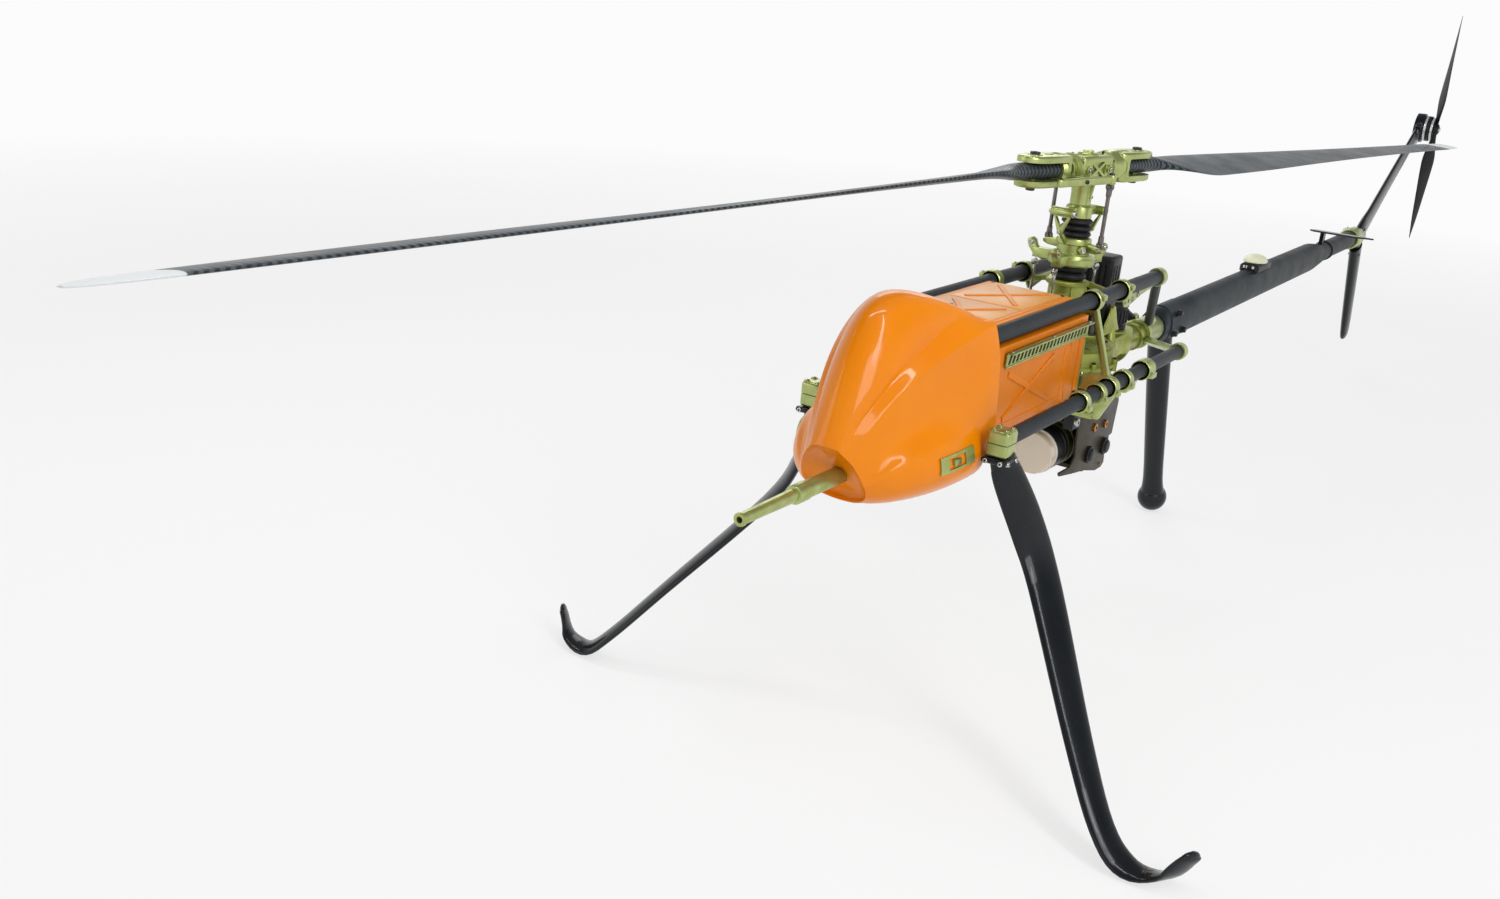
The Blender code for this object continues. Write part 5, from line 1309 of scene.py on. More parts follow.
def buildMast():
    housing = refined("mast_housing", "mastHousing", 0.0009, 2)
    for vertex in housing.data.vertices:
        if vertex.co.z > hubHeight - 0.235:
            reach = math.hypot(vertex.co.x, vertex.co.y - mastY)
            vertex.co.z += mastSetup["lift"] * min(max((0.062 - reach) / 0.022, 0), 1)
    dress(housing, "castGreen", standsFor=["mast_housing"])
    foot, top = hubHeight - mastSetup["foot"], hubHeight - mastSetup["top"] + mastSetup["lift"]
    radius = mastSetup["housing"]
    trims = [
        turned("rim", [(radius - 0.001, 0.0), (radius + 0.0045, 0.0), (radius + 0.0055, 0.0010),
                       (radius + 0.0055, 0.0050), (radius + 0.0040, 0.0066), (radius - 0.001, 0.0066),
                       (radius - 0.001, 0.0)], atMast(top - 0.0075), 56),
        turned("shoulder", [(radius - 0.001, 0.0), (radius + 0.0035, 0.0), (radius + 0.0035, 0.004),
                            (radius - 0.001, 0.008), (radius - 0.001, 0.0)], atMast(foot + 0.0065), 56)]
    for angle in (-128, -52, 20, 92, 164):
        rib = block("rib", (radius - 0.002, -0.0018, foot + 0.006), (radius + 0.010, 0.0018, top - 0.010),
                    0.0008)
        for vertex in rib.data.vertices:
            if vertex.co.x > radius and vertex.co.z > (foot + top) / 2:
                vertex.co.x = min(vertex.co.x, radius + 0.0025)
        rib.data.transform(atMast(0, angle))
        trims.append(rib)
    dress(fuse("mastTrim", trims), "castGreen")
    face = atMast(0, -78)
    label = block("label", (radius - 0.001, -0.0085, hubHeight - 0.256),
                  (radius + 0.0022, 0.0085, hubHeight - 0.202), 0.0006)
    label.data.transform(face)
    dress(label, "anodisedGreen").name = "mastPlate"
    screws = [(face @ Vector((radius + 0.002, y, hubHeight - drop)), face.to_3x3() @ Vector((1, 0, 0)), 0.0023,
               0.0014) for y in (-0.0055, 0.0055) for drop in (0.207, 0.251)]
    for i in range(8):
        way = flatWay(i * 45 + 12)
        screws.append((Vector((0, mastY, foot + 0.006)) + way * 0.0365, (0, 0, 1), 0.0026, 0.0022))
    boltSet("mastScrews", screws, "boltSteel")


servoSetup = {"reach": 0.062, "top": 0.228, "rod": 0.0024,
              "places": {"front": -90, "rear": 68, "starboard": 180}}


def buildServos():
    foot = hubHeight - mastSetup["foot"]
    top = hubHeight - servoSetup["top"]
    rods = []
    ends = []
    for name, angle in servoSetup["places"].items():
        way = flatWay(angle)
        place = way * servoSetup["reach"] + Vector((0, mastY, 0))
        case = block("case", place + Vector((-0.013, -0.013, foot)), place + Vector((0.013, 0.013, top)),
                     0.0018, 3)
        lid = block("lid", place + Vector((-0.0134, -0.0134, top - 0.012)),
                    place + Vector((0.0134, 0.0134, top - 0.0105)), 0.0003)
        horn = rod("horn", place + Vector((0, 0, top)), place + Vector((0, 0, top + 0.004)), 0.0062, 0.0050)
        dress(fuse("servo" + name.capitalize(), [case, lid, horn]), "plasticBlack", standsFor=["servo_" + name])
        low = place + Vector((0, 0, top + 0.010))
        high = place + Vector((0, 0, hubHeight - 0.163))
        side = Vector((-way.y, way.x, 0))
        rods.append(rod("rod", low, high, servoSetup["rod"], sides=20))
        for point in (low, high):
            rods.append(rod("sleeve", point - Vector((0, 0, 0.004)), point + Vector((0, 0, 0.004)), 0.0038,
                            sides=6, edge=0.0003))
            ends.append(rod("eye", point - side * 0.0032, point + side * 0.0032, 0.0058, sides=24))
    dress(fuse("servoRods", rods), "linkSteel")
    dress(fuse("servoRodEnds", ends), "boltSteel")


def pleatProfile(bore, crest, root, top, bottom, count):
    step = (top - bottom) / count
    profile = [(bore, top), (root, top)]
    for i in range(count):
        for j in range(1, 9):
            share = j / 8
            wave = math.sin(math.pi * share) ** 0.6
            profile.append((root + (crest - root) * wave, top - (i + share) * step))
    profile += [(bore, bottom), (bore, top)]
    return profile


def buildSwash():
    star = refined("swash_lower", "lowerStar", 0.0012, 2)
    star.data.transform(shift(0, 0, mastSetup["lift"]))
    dress(star, "anodisedGreen", standsFor=["swash_lower"])
    top, bottom = hubHeight - 0.147 + mastSetup["lift"], hubHeight - 0.163 + mastSetup["lift"]
    ring = turned(
        "ring", [(0.028, bottom - 0.002), (0.036, bottom - 0.002), (0.0385, bottom + 0.001),
                 (0.0385, top - 0.006), (0.0365, top - 0.003), (0.036, top - 0.0008), (0.028, top - 0.0008),
                 (0.028, bottom - 0.002)], atMast(), 56)
    pieces = [ring]
    bolts = []
    for angle in servoSetup["places"].values():
        # each arm hooks upwards to its rod end
        outline = [(0.030, -0.0175), (0.050, -0.0190), (0.064, -0.0140), (0.0755, -0.0010), (0.0790, 0.008),
                   (0.0770, 0.0135), (0.0710, 0.0155), (0.0650, 0.0125), (0.0610, 0.0030), (0.0540, -0.0035),
                   (0.044, -0.0020), (0.030, 0.0005)]
        turn = atMast(top, angle)
        arm = plate("hook", outline, 0.0110, turn @ alongY(), 0.0018)
        pieces.append(arm)
        for way in (1, -1):
            bolts.append((turn @ Vector((0.0712, way * 0.0054, 0.0080)), turn.to_3x3() @ Vector((0, way, 0)),
                          0.0044, 0.0030))
    dress(fuse("lowerStarArms", pieces), "anodisedGreen")
    boltSet("starBolts", bolts, "boltSteel")
    low, high = hubHeight - mastSetup["top"] + mastSetup["lift"] + 0.0003, bottom - 0.0003
    boot = turned("lowerBellows", pleatProfile(0.013, 0.0285, 0.021, high, low, 2), atMast(), 48, 50)
    dress(boot, "bellowsRubber", standsFor=["bellows_lower"])


buildRingBands()
buildBrackets()
buildGearbox()
buildDrive()
buildMast()
buildServos()
buildSwash()
print("frame, gearbox and mast are built")


# rotor head and blades

yokeSetup = {"halfWidth": 0.024, "halfLength": 0.045, "halfHeight": 0.021, "pocket": 0.0035}


def onRotor(piece, finish, standsFor=(), name=None):
    piece.data.transform(rotorPlace)
    if name:
        piece.name = name
    return dress(piece, finish, "main_rotor", standsFor)


def buildYoke():
    width, length, height = yokeSetup["halfWidth"], yokeSetup["halfLength"], yokeSetup["halfHeight"]
    yoke = block("hubYoke", (-width, -length, -height), (width, length, height), 0.006, 3)
    for sign in (1, -1):
        x = sign * width
        for outline in ([(-0.016, -0.012), (0.016, -0.012), (0, -0.002)],
                        [(-0.016, 0.012), (0.016, 0.012), (0, 0.002)],
                        [(-0.020, -0.009), (-0.020, 0.009), (-0.005, 0)],
                        [(0.020, -0.009), (0.020, 0.009), (0.005, 0)]):
            cutAway(yoke, plate("pocket", outline, 2 * yokeSetup["pocket"], alongX(x), 0))
    for y in (-0.026, 0.026):
        cutAway(yoke, block("slot", (-0.010, y - 0.006, height - 0.003), (0.010, y + 0.006, height + 0.01), 0))
    cutAway(yoke, rod("bore", (0, 0, -0.1), (0, 0, 0.019), 0.0103, edge=0))
    smoothAt(yoke)
    pieces = [yoke]
    pieces.append(
        turned("neck", [(0.0103, -0.020), (0.0200, -0.020), (0.0172, -0.026), (0.0168, -0.058),
                        (0.0205, -0.061), (0.0215, -0.063), (0.0215, -0.079), (0.0205, -0.080),
                        (0.0103, -0.080), (0.0103, -0.020)], Matrix.Identity(4), 44))
    pieces.append(
        turned("cap", [(0, 0.018), (0.0170, 0.018), (0.0170, 0.0225), (0.0150, 0.0245), (0.0090, 0.0250),
                       (0.0085, 0.0280), (0.0040, 0.0285), (0, 0.0285)], Matrix.Identity(4), 40))
    for sign in (1, -1):
        for y in (-0.031, 0.031):
            pieces.append(rod("boss", (sign * (width - 0.003), y, 0), (sign * (width + 0.0028), y, 0), 0.0068))
        turn = Matrix.Rotation(0 if sign > 0 else math.pi, 4, "Z")
        pieces.append(plate("rib", [(0.014, -0.020), (0.0225, -0.020), (0.0165, -0.056), (0.014, -0.056)],
                            0.004, turn @ alongY(), 0.0008))
        # scissor root and barrel
        pieces.append(block("root", (-0.0075, sign * 0.014, -0.0765), (0.0075, sign * 0.046, -0.0625), 0.0015))
        pieces.append(rod("barrel", (-0.0205, sign * 0.047, -0.069), (0.0205, sign * 0.047, -0.069), 0.0070,
                          sides=36, edge=0.001))
        outline = [(-0.0190, -0.066), (0.0190, -0.066), (0.0055, -0.099), (0.0045, -0.105), (-0.0045, -0.105),
                   (-0.0055, -0.099)]
        upright = shift(0, sign * 0.047, 0) @ Matrix.Rotation(math.pi / 2, 4, "X")
        link = plate("scissor", outline, 0.006, upright, 0.001)
        cutAway(
            link, plate("window", [(-0.0115, -0.0765), (0.0115, -0.0765), (0.0, -0.0945)], 0.02, upright, 0))
        pieces.append(smoothAt(link))
    onRotor(fuse("hubYoke", pieces), "anodisedGreen", ["hub_yoke"])
    bolts = []
    for sign in (1, -1):
        for y in (-0.031, 0.031):
            bolts.append(((sign * (width + 0.0026), y, 0), (sign, 0, 0), 0.0040, 0.0030))
        bolts.append(((sign * width * 0.9, 0, 0.0165), (sign * 0.3, 0, 1), 0.0028, 0.0020))
        for y in (0.047, -0.047):
            bolts.append(((sign * 0.0203, y, -0.069), (sign, 0, 0), 0.0052, 0.0040))
        bolts.append(((0, sign * 0.0500, -0.1010), (0, sign, 0), 0.0034, 0.0024))
        bolts.append(((sign * 0.0165, 0.004, -0.045), (sign, 0, 0), 0.0026, 0.0020))
    boltSet("yokeBolts", bolts, "boltSteel", "main_rotor", rotorPlace)
    shaft = turned(
        "rotorShaft", [(0, -0.258), (0.0099, -0.258), (0.0099, 0.0175), (0.0090, 0.0180), (0, 0.0180)],
        Matrix.Identity(4), 40)
    onRotor(shaft, "linkSteel", ["rotor_shaft"])


gripSetup = {"drum": 0.0245, "forkHeight": 0.048, "bolt": -0.153}


def buildGrip(name, turn):
    drum = turned(
        "drum", [(0, 0.0453), (0.0215, 0.0453), (0.0250, 0.0470), (0.0250, 0.0525), (0.0215, 0.0540),
                 (0.0215, 0.0565), (0.0185, 0.0575), (0.0188, 0.0610), (gripSetup["drum"], 0.0720),
                 (0.0262, 0.0830), (0.0262, 0.0925), (0.0215, 0.0990), (0, 0.1000)],
        axisPlace((0, 0, 0), (0, -1, 0)), 48)
    for sign in (1, -1):
        hole = rod("oval", (sign * 0.019, 0, 0), (sign * 0.03, 0, 0), 0.0052, edge=0)
        hole.data.transform(Matrix.Translation((0, -0.0800, 0)) @ Matrix.Diagonal((1, 1, 2.3, 1)))
        cutAway(drum, hole)
    smoothAt(drum)
    outline = [(-0.0195, -0.076), (0.0195, -0.076), (0.0255, -0.086), (0.0255, -0.152), (0.0215, -0.168),
               (0.0140, -0.179), (0.0050, -0.184), (-0.0050, -0.184), (-0.0140, -0.179), (-0.0215, -0.168),
               (-0.0255, -0.152), (-0.0255, -0.086)]
    fork = plate("fork", outline, gripSetup["forkHeight"], Matrix.Identity(4), 0.0042, 4)
    cutAway(fork, block("slot", (-0.04, -0.200, -0.0140), (0.04, -0.093, 0.0140), 0.004, 3))
    for sign in (1, -1):
        hole = rod("oval", (0, 0, sign * 0.017), (0, 0, sign * 0.03), 0.0066, edge=0)
        hole.data.transform(Matrix.Translation((0, -0.114, 0)) @ Matrix.Diagonal((1, 1.6, 1, 1)))
        cutAway(fork, hole)
    smoothAt(fork)
    parts = [drum, fork]
    at = gripSetup["bolt"]
    parts.append(rod("bolt", (0, at, -0.0255), (0, at, 0.0255), 0.0050, sides=28))
    parts.append(rod("seatTop", (0, at, 0.0232), (0, at, 0.0252), 0.0125, 0.0115))
    parts.append(rod("seatFoot", (0, at, -0.0252), (0, at, -0.0232), 0.0105, 0.0115))
    parts.append(block("armRoot", (0.014, -0.0905, -0.0185), (0.0525, -0.0735, -0.0055), 0.0018, 3))
    bar = plate(
        "armBar", [(0.0440, -0.1500), (0.0490, -0.1540), (0.0540, -0.1500), (0.0545, 0.0060), (0.0515, 0.0105),
                   (0.0465, 0.0105), (0.0435, 0.0060)], 0.012, Matrix.Translation((0, 0, -0.012)), 0.0022, 3)
    parts.append(bar)
    parts.append(rod("armEye", (0.049, 0.000, -0.0190), (0.049, 0.000, -0.0045), 0.0078, sides=28))
    grip = fuse("bladeGrip" + name.upper(), parts)
    spin = Matrix.Rotation(turn, 4, "Z")
    grip.data.transform(spin)
    onRotor(grip, "anodisedGreen", ["blade_grip_" + name])
    bolts = [((0, at, 0.0250), (0, 0, 1), 0.0080, 0.0042), ((0, at, -0.0250), (0, 0, -1), 0.0072, 0.0050),
             ((0.049, -0.147, -0.006), (0, 0, 1), 0.0030, 0.0020),
             ((0.049, 0.000, -0.0046), (0, 0, 1), 0.0046, 0.0030),
             ((0.0545, -0.0800, -0.012), (1, 0, 0), 0.0034, 0.0024)]
    for i in range(6):
        angle = math.radians(i * 60 + 30)
        bolts.append(((0.0205 * math.cos(angle), -0.0468, 0.0205 * math.sin(angle)),
                      (math.cos(angle), 0.3, math.sin(angle)), 0.0024, 0.0050))
    boltSet("gripBolts" + name.upper(), bolts, "boltDark", "main_rotor", rotorPlace @ spin)
    # dark rods inside the drum's oval holes: painted shade that makes the holes look dark
    shade = [rod("slotShade", (sign * 0.0150, -0.0800, 0), (sign * 0.0200, -0.0800, 0), 0.0100, edge=0)
             for sign in (1, -1)]
    slotShadeFill = fuse("drumSlotShade" + name.upper(), shade)
    slotShadeFill.data.transform(spin)
    onRotor(slotShadeFill, "bellowsRubber")


def buildLink(name, turn):
    top, foot = Vector((0.049, 0, -0.0200)), Vector((0.049, 0, -0.1215))
    parts = [rod("rod", foot, top, 0.0033, sides=20)]
    eye = [(0.0032, -0.0030), (0.0062, -0.0030), (0.0068, -0.0022), (0.0068, 0.0022), (0.0062, 0.0030),
           (0.0032, 0.0030), (0.0032, -0.0030)]
    pivot = [(0, -0.0052), (0.0026, -0.0052), (0.0040, -0.0020), (0.0042, 0), (0.0040, 0.0020),
             (0.0026, 0.0052), (0, 0.0052)]
    for point, way in ((top, -1), (foot, 1)):
        near, middle, far = (point + Vector((0, 0, way * reach)) for reach in (0.006, 0.0035, 0.019))
        parts.append(rod("sleeve", near, far, 0.0050, 0.0044, 6, 0.0004))
        parts.append(turned("eye", eye, axisPlace(middle, (0, 1, 0)), 28))
        parts.append(turned("pivot", pivot, axisPlace(middle, (0, 1, 0)), 20))
    link = fuse("pitchLink" + name.upper(), parts)
    link.data.transform(Matrix.Rotation(turn, 4, "Z"))
    onRotor(link, "linkDark", ["pitch_link_" + name])


swashLift = 0.0073          # the upper plate sits higher in the photograph than its solid


def buildUpperSwash():
    higher = shift(0, 0, swashLift)
    parts = [turned("drum", [(0.0105, -0.1185), (0.0235, -0.1185), (0.0275, -0.1200), (0.0285, -0.1225),
                             (0.0285, -0.1290), (0.0265, -0.1305), (0.0265, -0.1420), (0.0280, -0.1435),
                             (0.0280, -0.1462), (0.0105, -0.1462), (0.0105, -0.1185)], Matrix.Identity(4), 56)]
    bolts = []
    for sign in (1, -1):
        outline = [(0.020, -0.1405), (0.046, -0.1395), (0.055, -0.1365), (0.0565, -0.1315), (0.052, -0.1285),
                   (0.020, -0.1240)]
        spin = Matrix.Rotation(0 if sign > 0 else math.pi, 4, "Z")
        parts.append(plate("ear", outline, 0.011, spin @ alongY(), 0.0012))
        parts.append(rod("scissorSeat", (0, sign * 0.022, -0.128), (0, sign * 0.0455, -0.110), 0.0050, 0.0036))
        boss = spin @ Vector((0.030, -0.018, -0.136))
        parts.append(rod("bossSide", spin @ Vector((0.018, -0.012, -0.136)), boss, 0.0062))
        bolts.append((boss, spin.to_3x3() @ Vector((0.9, -0.45, 0)), 0.0042, 0.0030))
        bolts.append((spin @ Vector((0.049, -0.0056, -0.1330)), spin.to_3x3() @ Vector((0, -1, 0)), 0.0034,
                      0.0026))
    star = fuse("upperSwash", parts)
    star.data.transform(higher)
    onRotor(star, "anodisedGreen", ["swash_upper"])
    boltSet("swashBolts", bolts, "boltSteel", "main_rotor", rotorPlace @ higher)
    boot = turned("upperBellows", pleatProfile(0.0105, 0.0255, 0.0180, -0.0803, -0.1112, 3),
                  Matrix.Identity(4), 48, 50)
    onRotor(boot, "bellowsRubber", ["bellows_upper"])


bladeSetup = {"chord": 0.112, "flap": {"a": -0.036, "b": 0.003}, "pitch": {"a": 16, "b": 8}, "radius": 1.60,
              "tipShare": 0.937, "around": 40}


def bladeRing(radius, chord, thick, share, washout, pitch, flap):
    # one blade section; share runs from 0 at the oval root to 1 at the airfoil
    points = []
    for i in range(bladeSetup["around"]):
        angle = 2 * math.pi * i / bladeSetup["around"]
        along = 0.5 * math.cos(angle)
        position = max(0.5 - along, 0)
        foil = max(2.6 * (math.sqrt(position) - position), 0.04 if position > 0.5 else 0)
        height = (1 - share) * abs(math.sin(angle)) + share * foil
        sign = 0 if abs(math.sin(angle)) < 0.001 else math.copysign(1, math.sin(angle))
        points.append(Vector((chord * (along - 0.22 * share), 0, sign * thick / 2 * height)))
    lift = flap * max(0, radius - 0.2)
    turn = Matrix.Rotation(-math.radians(pitch - washout) * share, 3, "Y")
    return [turn @ point + Vector((0, -radius, lift)) for point in points]


def buildBlade(name, turn):
    chord, end = bladeSetup["chord"], bladeSetup["radius"]
    edge = bladeSetup["tipShare"] * end
    stations = [
        (0.0935, 0.036, 0.027, 0, 0), (0.196, 0.034, 0.026, 0, 0), (0.226, 0.052, 0.024, 0.4, 0),
        (0.262, 0.090, 0.019, 0.85, 0), (0.300, chord * 0.98, 0.016, 1, 0), (0.350, chord, 0.015, 1, 0),
        (0.520, chord * 0.97, 0.012, 1, 1.2), (0.720, chord * 0.89, 0.0105, 1, 3.4),
        (1.000, chord * 0.79, 0.0095, 1, 6), (1.300, chord * 0.70, 0.0085, 1, 7.5),
        (edge, chord * 0.64, 0.008, 1, 7.5), (edge + 0.060, chord * 0.56, 0.007, 1, 7.5),
        (end - 0.012, chord * 0.36, 0.005, 1, 7.5), (end, chord * 0.16, 0.003, 1, 7.5)]
    rings = []
    for row in smoothLine(stations, 4):
        row[3] = min(max(row[3], 0), 1)
        rings.append(bladeRing(*row, bladeSetup["pitch"][name], bladeSetup["flap"][name]))
    blade = skin("blade" + name.upper(), rings, angle=50)
    blade.data.transform(Matrix.Rotation(turn, 4, "Z"))
    onRotor(blade, "bladeCarbon", ["blade_" + name])


buildYoke()
for name, turn in (("a", 0.0), ("b", math.pi)):
    buildGrip(name, turn)
    buildLink(name, turn)
    buildBlade(name, turn)
buildUpperSwash()
print("rotor is built")


# boom, tail and legs

boomSetup = {"drop": 0.340, "start": 0.505, "neck": 1.830, "end": 2.290, "height": 0.074, "width": 0.056,
             "sleeve": 0.024}


def buildBoom():
    halfX, halfZ = boomSetup["width"] / 2, boomSetup["height"] / 2
    start, neck, sleeve = boomSetup["start"], boomSetup["neck"], boomSetup["sleeve"]
    stations = [
        (start, 0.0270, 0.0290), (start + 0.002, 0.0285, 0.0305), (start + 0.020, halfX, halfZ),
        (start + 0.30, halfX, halfZ), (neck - 0.30, halfX, halfZ), (neck - 0.075, halfX, halfZ),
        (neck - 0.055, halfX - 0.0003, halfZ - 0.001), (neck - 0.005, 0.0272, 0.0305), (neck, 0.027, 0.030),
        (neck + 0.019, sleeve + 0.004, sleeve + 0.004), (neck + 0.020, sleeve, sleeve),
        (neck + 0.110, sleeve, sleeve), (neck + 0.1105, sleeve + 0.003, sleeve + 0.003),
        (neck + 0.1245, sleeve + 0.003, sleeve + 0.003), (neck + 0.125, sleeve, sleeve),
        (boomSetup["end"] - 0.001, sleeve, sleeve), (boomSetup["end"], sleeve - 0.001, sleeve - 0.001)]
    rings = []
    for y, across, up in stations:
        broad, tall = (0.86, 0.94) if across < up - 0.002 else (1, 1)
        ring = []
        for i in range(64):
            angle = 2 * math.pi * i / 64
            x = across * math.copysign(abs(math.cos(angle)) ** broad, math.cos(angle))
            z = up * math.copysign(abs(math.sin(angle)) ** tall, math.sin(angle))
            ring.append(spot(x, y, boomSetup["drop"]) + Vector((0, 0, z)))
        rings.append(ring)
    dress(skin("tailBoom", rings, angle=30), "boomCarbon", standsFor=["tail_boom"])
    # the collar's step and the dark knobs at the front of the boom
    rings = []
    for y, grow in ((0.540, 0.0002), (0.541, 0.0022), (0.640, 0.0022), (0.6415, 0.0002)):
        centre = spot(0, y, boomSetup["drop"])
        rings.append(ovalRing(centre, Vector((1, 0, 0)), Vector((0, 0, 1)), halfX + grow, halfZ + grow, 64))
    dress(skin("boomFrontSleeve", rings), "boomCarbon")
    knobs = []
    for sign in sides.values():
        for y, drop, radius in ((0.5735, 0.3165, 0.0075), (0.6150, 0.3562, 0.0080), (0.5604, 0.3570, 0.0070)):
            point = spot(sign * 0.0262, y, drop)
            knobs.append(
                turned("knob",
                       [(0, 0), (radius, 0), (radius, 0.0030), (radius * 0.8, 0.0036), (radius * 0.74, 0.0090),
                        (radius * 0.6, 0.0104), (0, 0.0104)], axisPlace(point, (sign, 0, 0.05)), 24))
    dress(fuse("boomKnobs", knobs), "plasticBlack")
    clamp = refined("boom_clamp", "boomClamp", 0.0012, 2)
    dress(clamp, "anodisedGreen", standsFor=["boom_clamp"])
    y = boomSetup["end"]
    places = [(spot(sign * 0.0185, y + offset, boomSetup["drop"] - 0.0235), (sign * 0.5, 0, 1), 0.0036, 0.0040)
              for sign in (1, -1) for offset in (-0.018, 0.010, 0.034)]
    boltSet("boomClampBolts", places, "boltSteel")


def buildBoomTop():
    low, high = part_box("gps_base")
    base = refined("gps_base", "antennaBase", 0.0010, 2)
    dress(base, "plasticBlack", standsFor=["gps_base"])
    marks = []
    for x, half in ((-0.011, 0.0022), (-0.005, 0.0015), (0.010, 0.0026)):
        marks.append(block("mark", (x - half, low.y - 0.0006, high.z - 0.0110),
                           (x + half, low.y + 0.0004, high.z - 0.0050), 0.0002))
    dress(fuse("antennaMarks", marks), "ringWhite")
    foot = hubHeight - boomSetup["drop"] + boomSetup["height"] / 2 + 0.0143
    profile = [(0, 0.0170), (0.006, 0.0168), (0.012, 0.0158), (0.017, 0.0138), (0.0215, 0.0108),
               (0.0250, 0.0068), (0.0268, 0.0030), (0.0270, 0.0008), (0.0266, 0), (0, 0)]
    dome = turned("antennaDome", profile, shift(0, 1.215 + mastY, foot) @ Matrix.Diagonal((1, 1.45, 1, 1)), 56,
                  60)
    dress(dome, "domeCream", standsFor=["gps_dome"])
    dress(refined("stabilizer", "stabilizerBlade", 0.0012, 3), "legBlack", standsFor=["stabilizer"])


def buildFins():
    side = Vector((1, 0, 0))
    root = spot(0, 2.400, boomSetup["drop"])
    motorCentre = Vector((0, tailHub.y, tailHub.z))
    foot = spot(0, 2.545, 0.679)
    upper = [
        (root + Vector((0, -0.008, -0.034)), 0.013, 0.030),
        (root + Vector((0, -0.010, -0.012)), 0.0145, 0.038),
        (root.lerp(motorCentre, 0.07) + Vector((0, 0.002, 0)), 0.0125, 0.035),
        (root.lerp(motorCentre, 0.15) + Vector((0, 0.008, 0)), 0.011, 0.030),
        (root.lerp(motorCentre, 0.45), 0.0098, 0.0285), (root.lerp(motorCentre, 0.80), 0.009, 0.028),
        (motorCentre - Vector((0, 0.036, 0.024)), 0.0110, 0.033),
        (motorCentre - Vector((0, 0.030, 0.012)), 0.012, 0.036)]
    fin = ovalBar("upperFin", upper, side, 40, 60)
    pad = rod("pad", motorCentre - side * 0.014, motorCentre + side * 0.014, 0.046, sides=56, edge=0.003)
    plug = rod("plug", spot(0, boomSetup["end"] + 0.0453, boomSetup["drop"]), root, 0.024, 0.022, edge=0.001)
    dress(fuse("upperFin", [fin, pad, plug]), "legBlack", standsFor=["tail_fin_upper"])
    lowerRoot = root + Vector((0, 0.004, -0.0355))
    lower = [(lowerRoot, 0.016, 0.036), (lowerRoot.lerp(foot, 0.25), 0.0150, 0.0350),
             (lowerRoot.lerp(foot, 0.5), 0.014, 0.034), (lowerRoot.lerp(foot, 0.80), 0.0125, 0.0325),
             (lowerRoot.lerp(foot, 0.93), 0.011, 0.031), (lowerRoot.lerp(foot, 0.98), 0.0095, 0.0270),
             (foot, 0.0070, 0.0190)]
    dress(ovalBar("lowerFin", lower, side, 40, 60), "legBlack", standsFor=["tail_fin_lower"])
    boltSet("finBolts", [(spot(sign * 0.0135, 2.400 + y, boomSetup["drop"] + z), (sign, 0, 0), 0.0040, 0.0030)
                         for sign in (1, -1) for y,
                         z in ((-0.012, 0.004), (0.010, 0.004), (0.0, -0.018), (0.004, 0.060))], "boltDark")


def buildTailMotor():
    centre = Vector((0, tailHub.y, tailHub.z))
    place = axisPlace(centre, (1, 0, 0))
    profile = [(0, 0.0143), (0.0390, 0.0143), (0.0400, 0.0153), (0.0400, 0.0330), (0.0385, 0.0340),
               (0.0300, 0.0340), (0.0290, 0.0330), (0, 0.0330)]
    dress(turned("tailMotor", profile, place, 56), "plasticBlack", standsFor=["tail_motor"])
    band = turned("band", [(0.0395, 0.0165), (0.0406, 0.0168), (0.0406, 0.0232), (0.0395, 0.0235),
                           (0.0395, 0.0165)], place, 56)
    dress(band, "paleMetal").name = "tailMotorBand"
    spin = axisPlace(tailHub, (1, 0, 0))
    inner = 0.034 + 0.0008 - tailHub.x
    bell = [
        (0, inner), (0.0350, inner), (0.0360, inner + 0.001), (0.0360, inner + 0.0088),
        (0.0350, inner + 0.0100), (0.0215, inner + 0.0102), (0.0200, inner + 0.0112), (0.0185, inner + 0.0150),
        (0.0170, inner + 0.0205), (0.0155, inner + 0.0220), (0.0080, inner + 0.0222), (0, inner + 0.0222)]
    hub = turned("hub", bell, spin, 56)
    nut = rod("nut", tailHub + Vector((inner + 0.020, 0, 0)), tailHub + Vector((inner + 0.028, 0, 0)), 0.0070,
              sides=6, edge=0.0008)
    parts = [hub]
    for sign in (1, -1):
        stations = [(0.010, 0.018, 0.008, 34), (0.045, 0.030, 0.008, 32), (0.090, 0.060, 0.006, 28),
                    (0.130, 0.064, 0.005, 25), (0.200, 0.054, 0.004, 21), (0.290, 0.034, 0.003, 17),
                    (0.360, 0.004, 0.0012, 14)]
        rings = []
        for radius, chord, thick, twist in smoothLine(stations, 4):
            angle = math.radians(twist)
            across = Vector((-sign * math.sin(angle), math.cos(angle), 0))
            normal = Vector((0, 0, 1)).cross(across)
            ring = ovalRing(
                tailHub + Vector((inner + 0.013, 0, sign * radius)), across, normal, chord / 2, thick / 2, 24)
            rings.append(ring)
        parts.append(skin("blade", rings, angle=60))
    dress(fuse("tailPropeller", parts), "propellerCarbon", "tail_rotor", ["tail_propeller"])
    bell = turned("bellBand", [(0.0355, inner + 0.0012), (0.0368, inner + 0.0015), (0.0368, inner + 0.0080),
                               (0.0355, inner + 0.0083), (0.0355, inner + 0.0012)], spin, 56)
    dress(fuse("tailHubTrim", [bell, nut]), "paleMetal", "tail_rotor")
    boltSet("propellerBolts", [(tailHub + Vector((inner + 0.0220, 0.0115 * math.cos(a), 0.0115 * math.sin(a))),
                                (1, 0, 0), 0.0026, 0.0020) for a in (0.6, 2.17, 3.74, 5.31)], "boltDark",
            "tail_rotor")


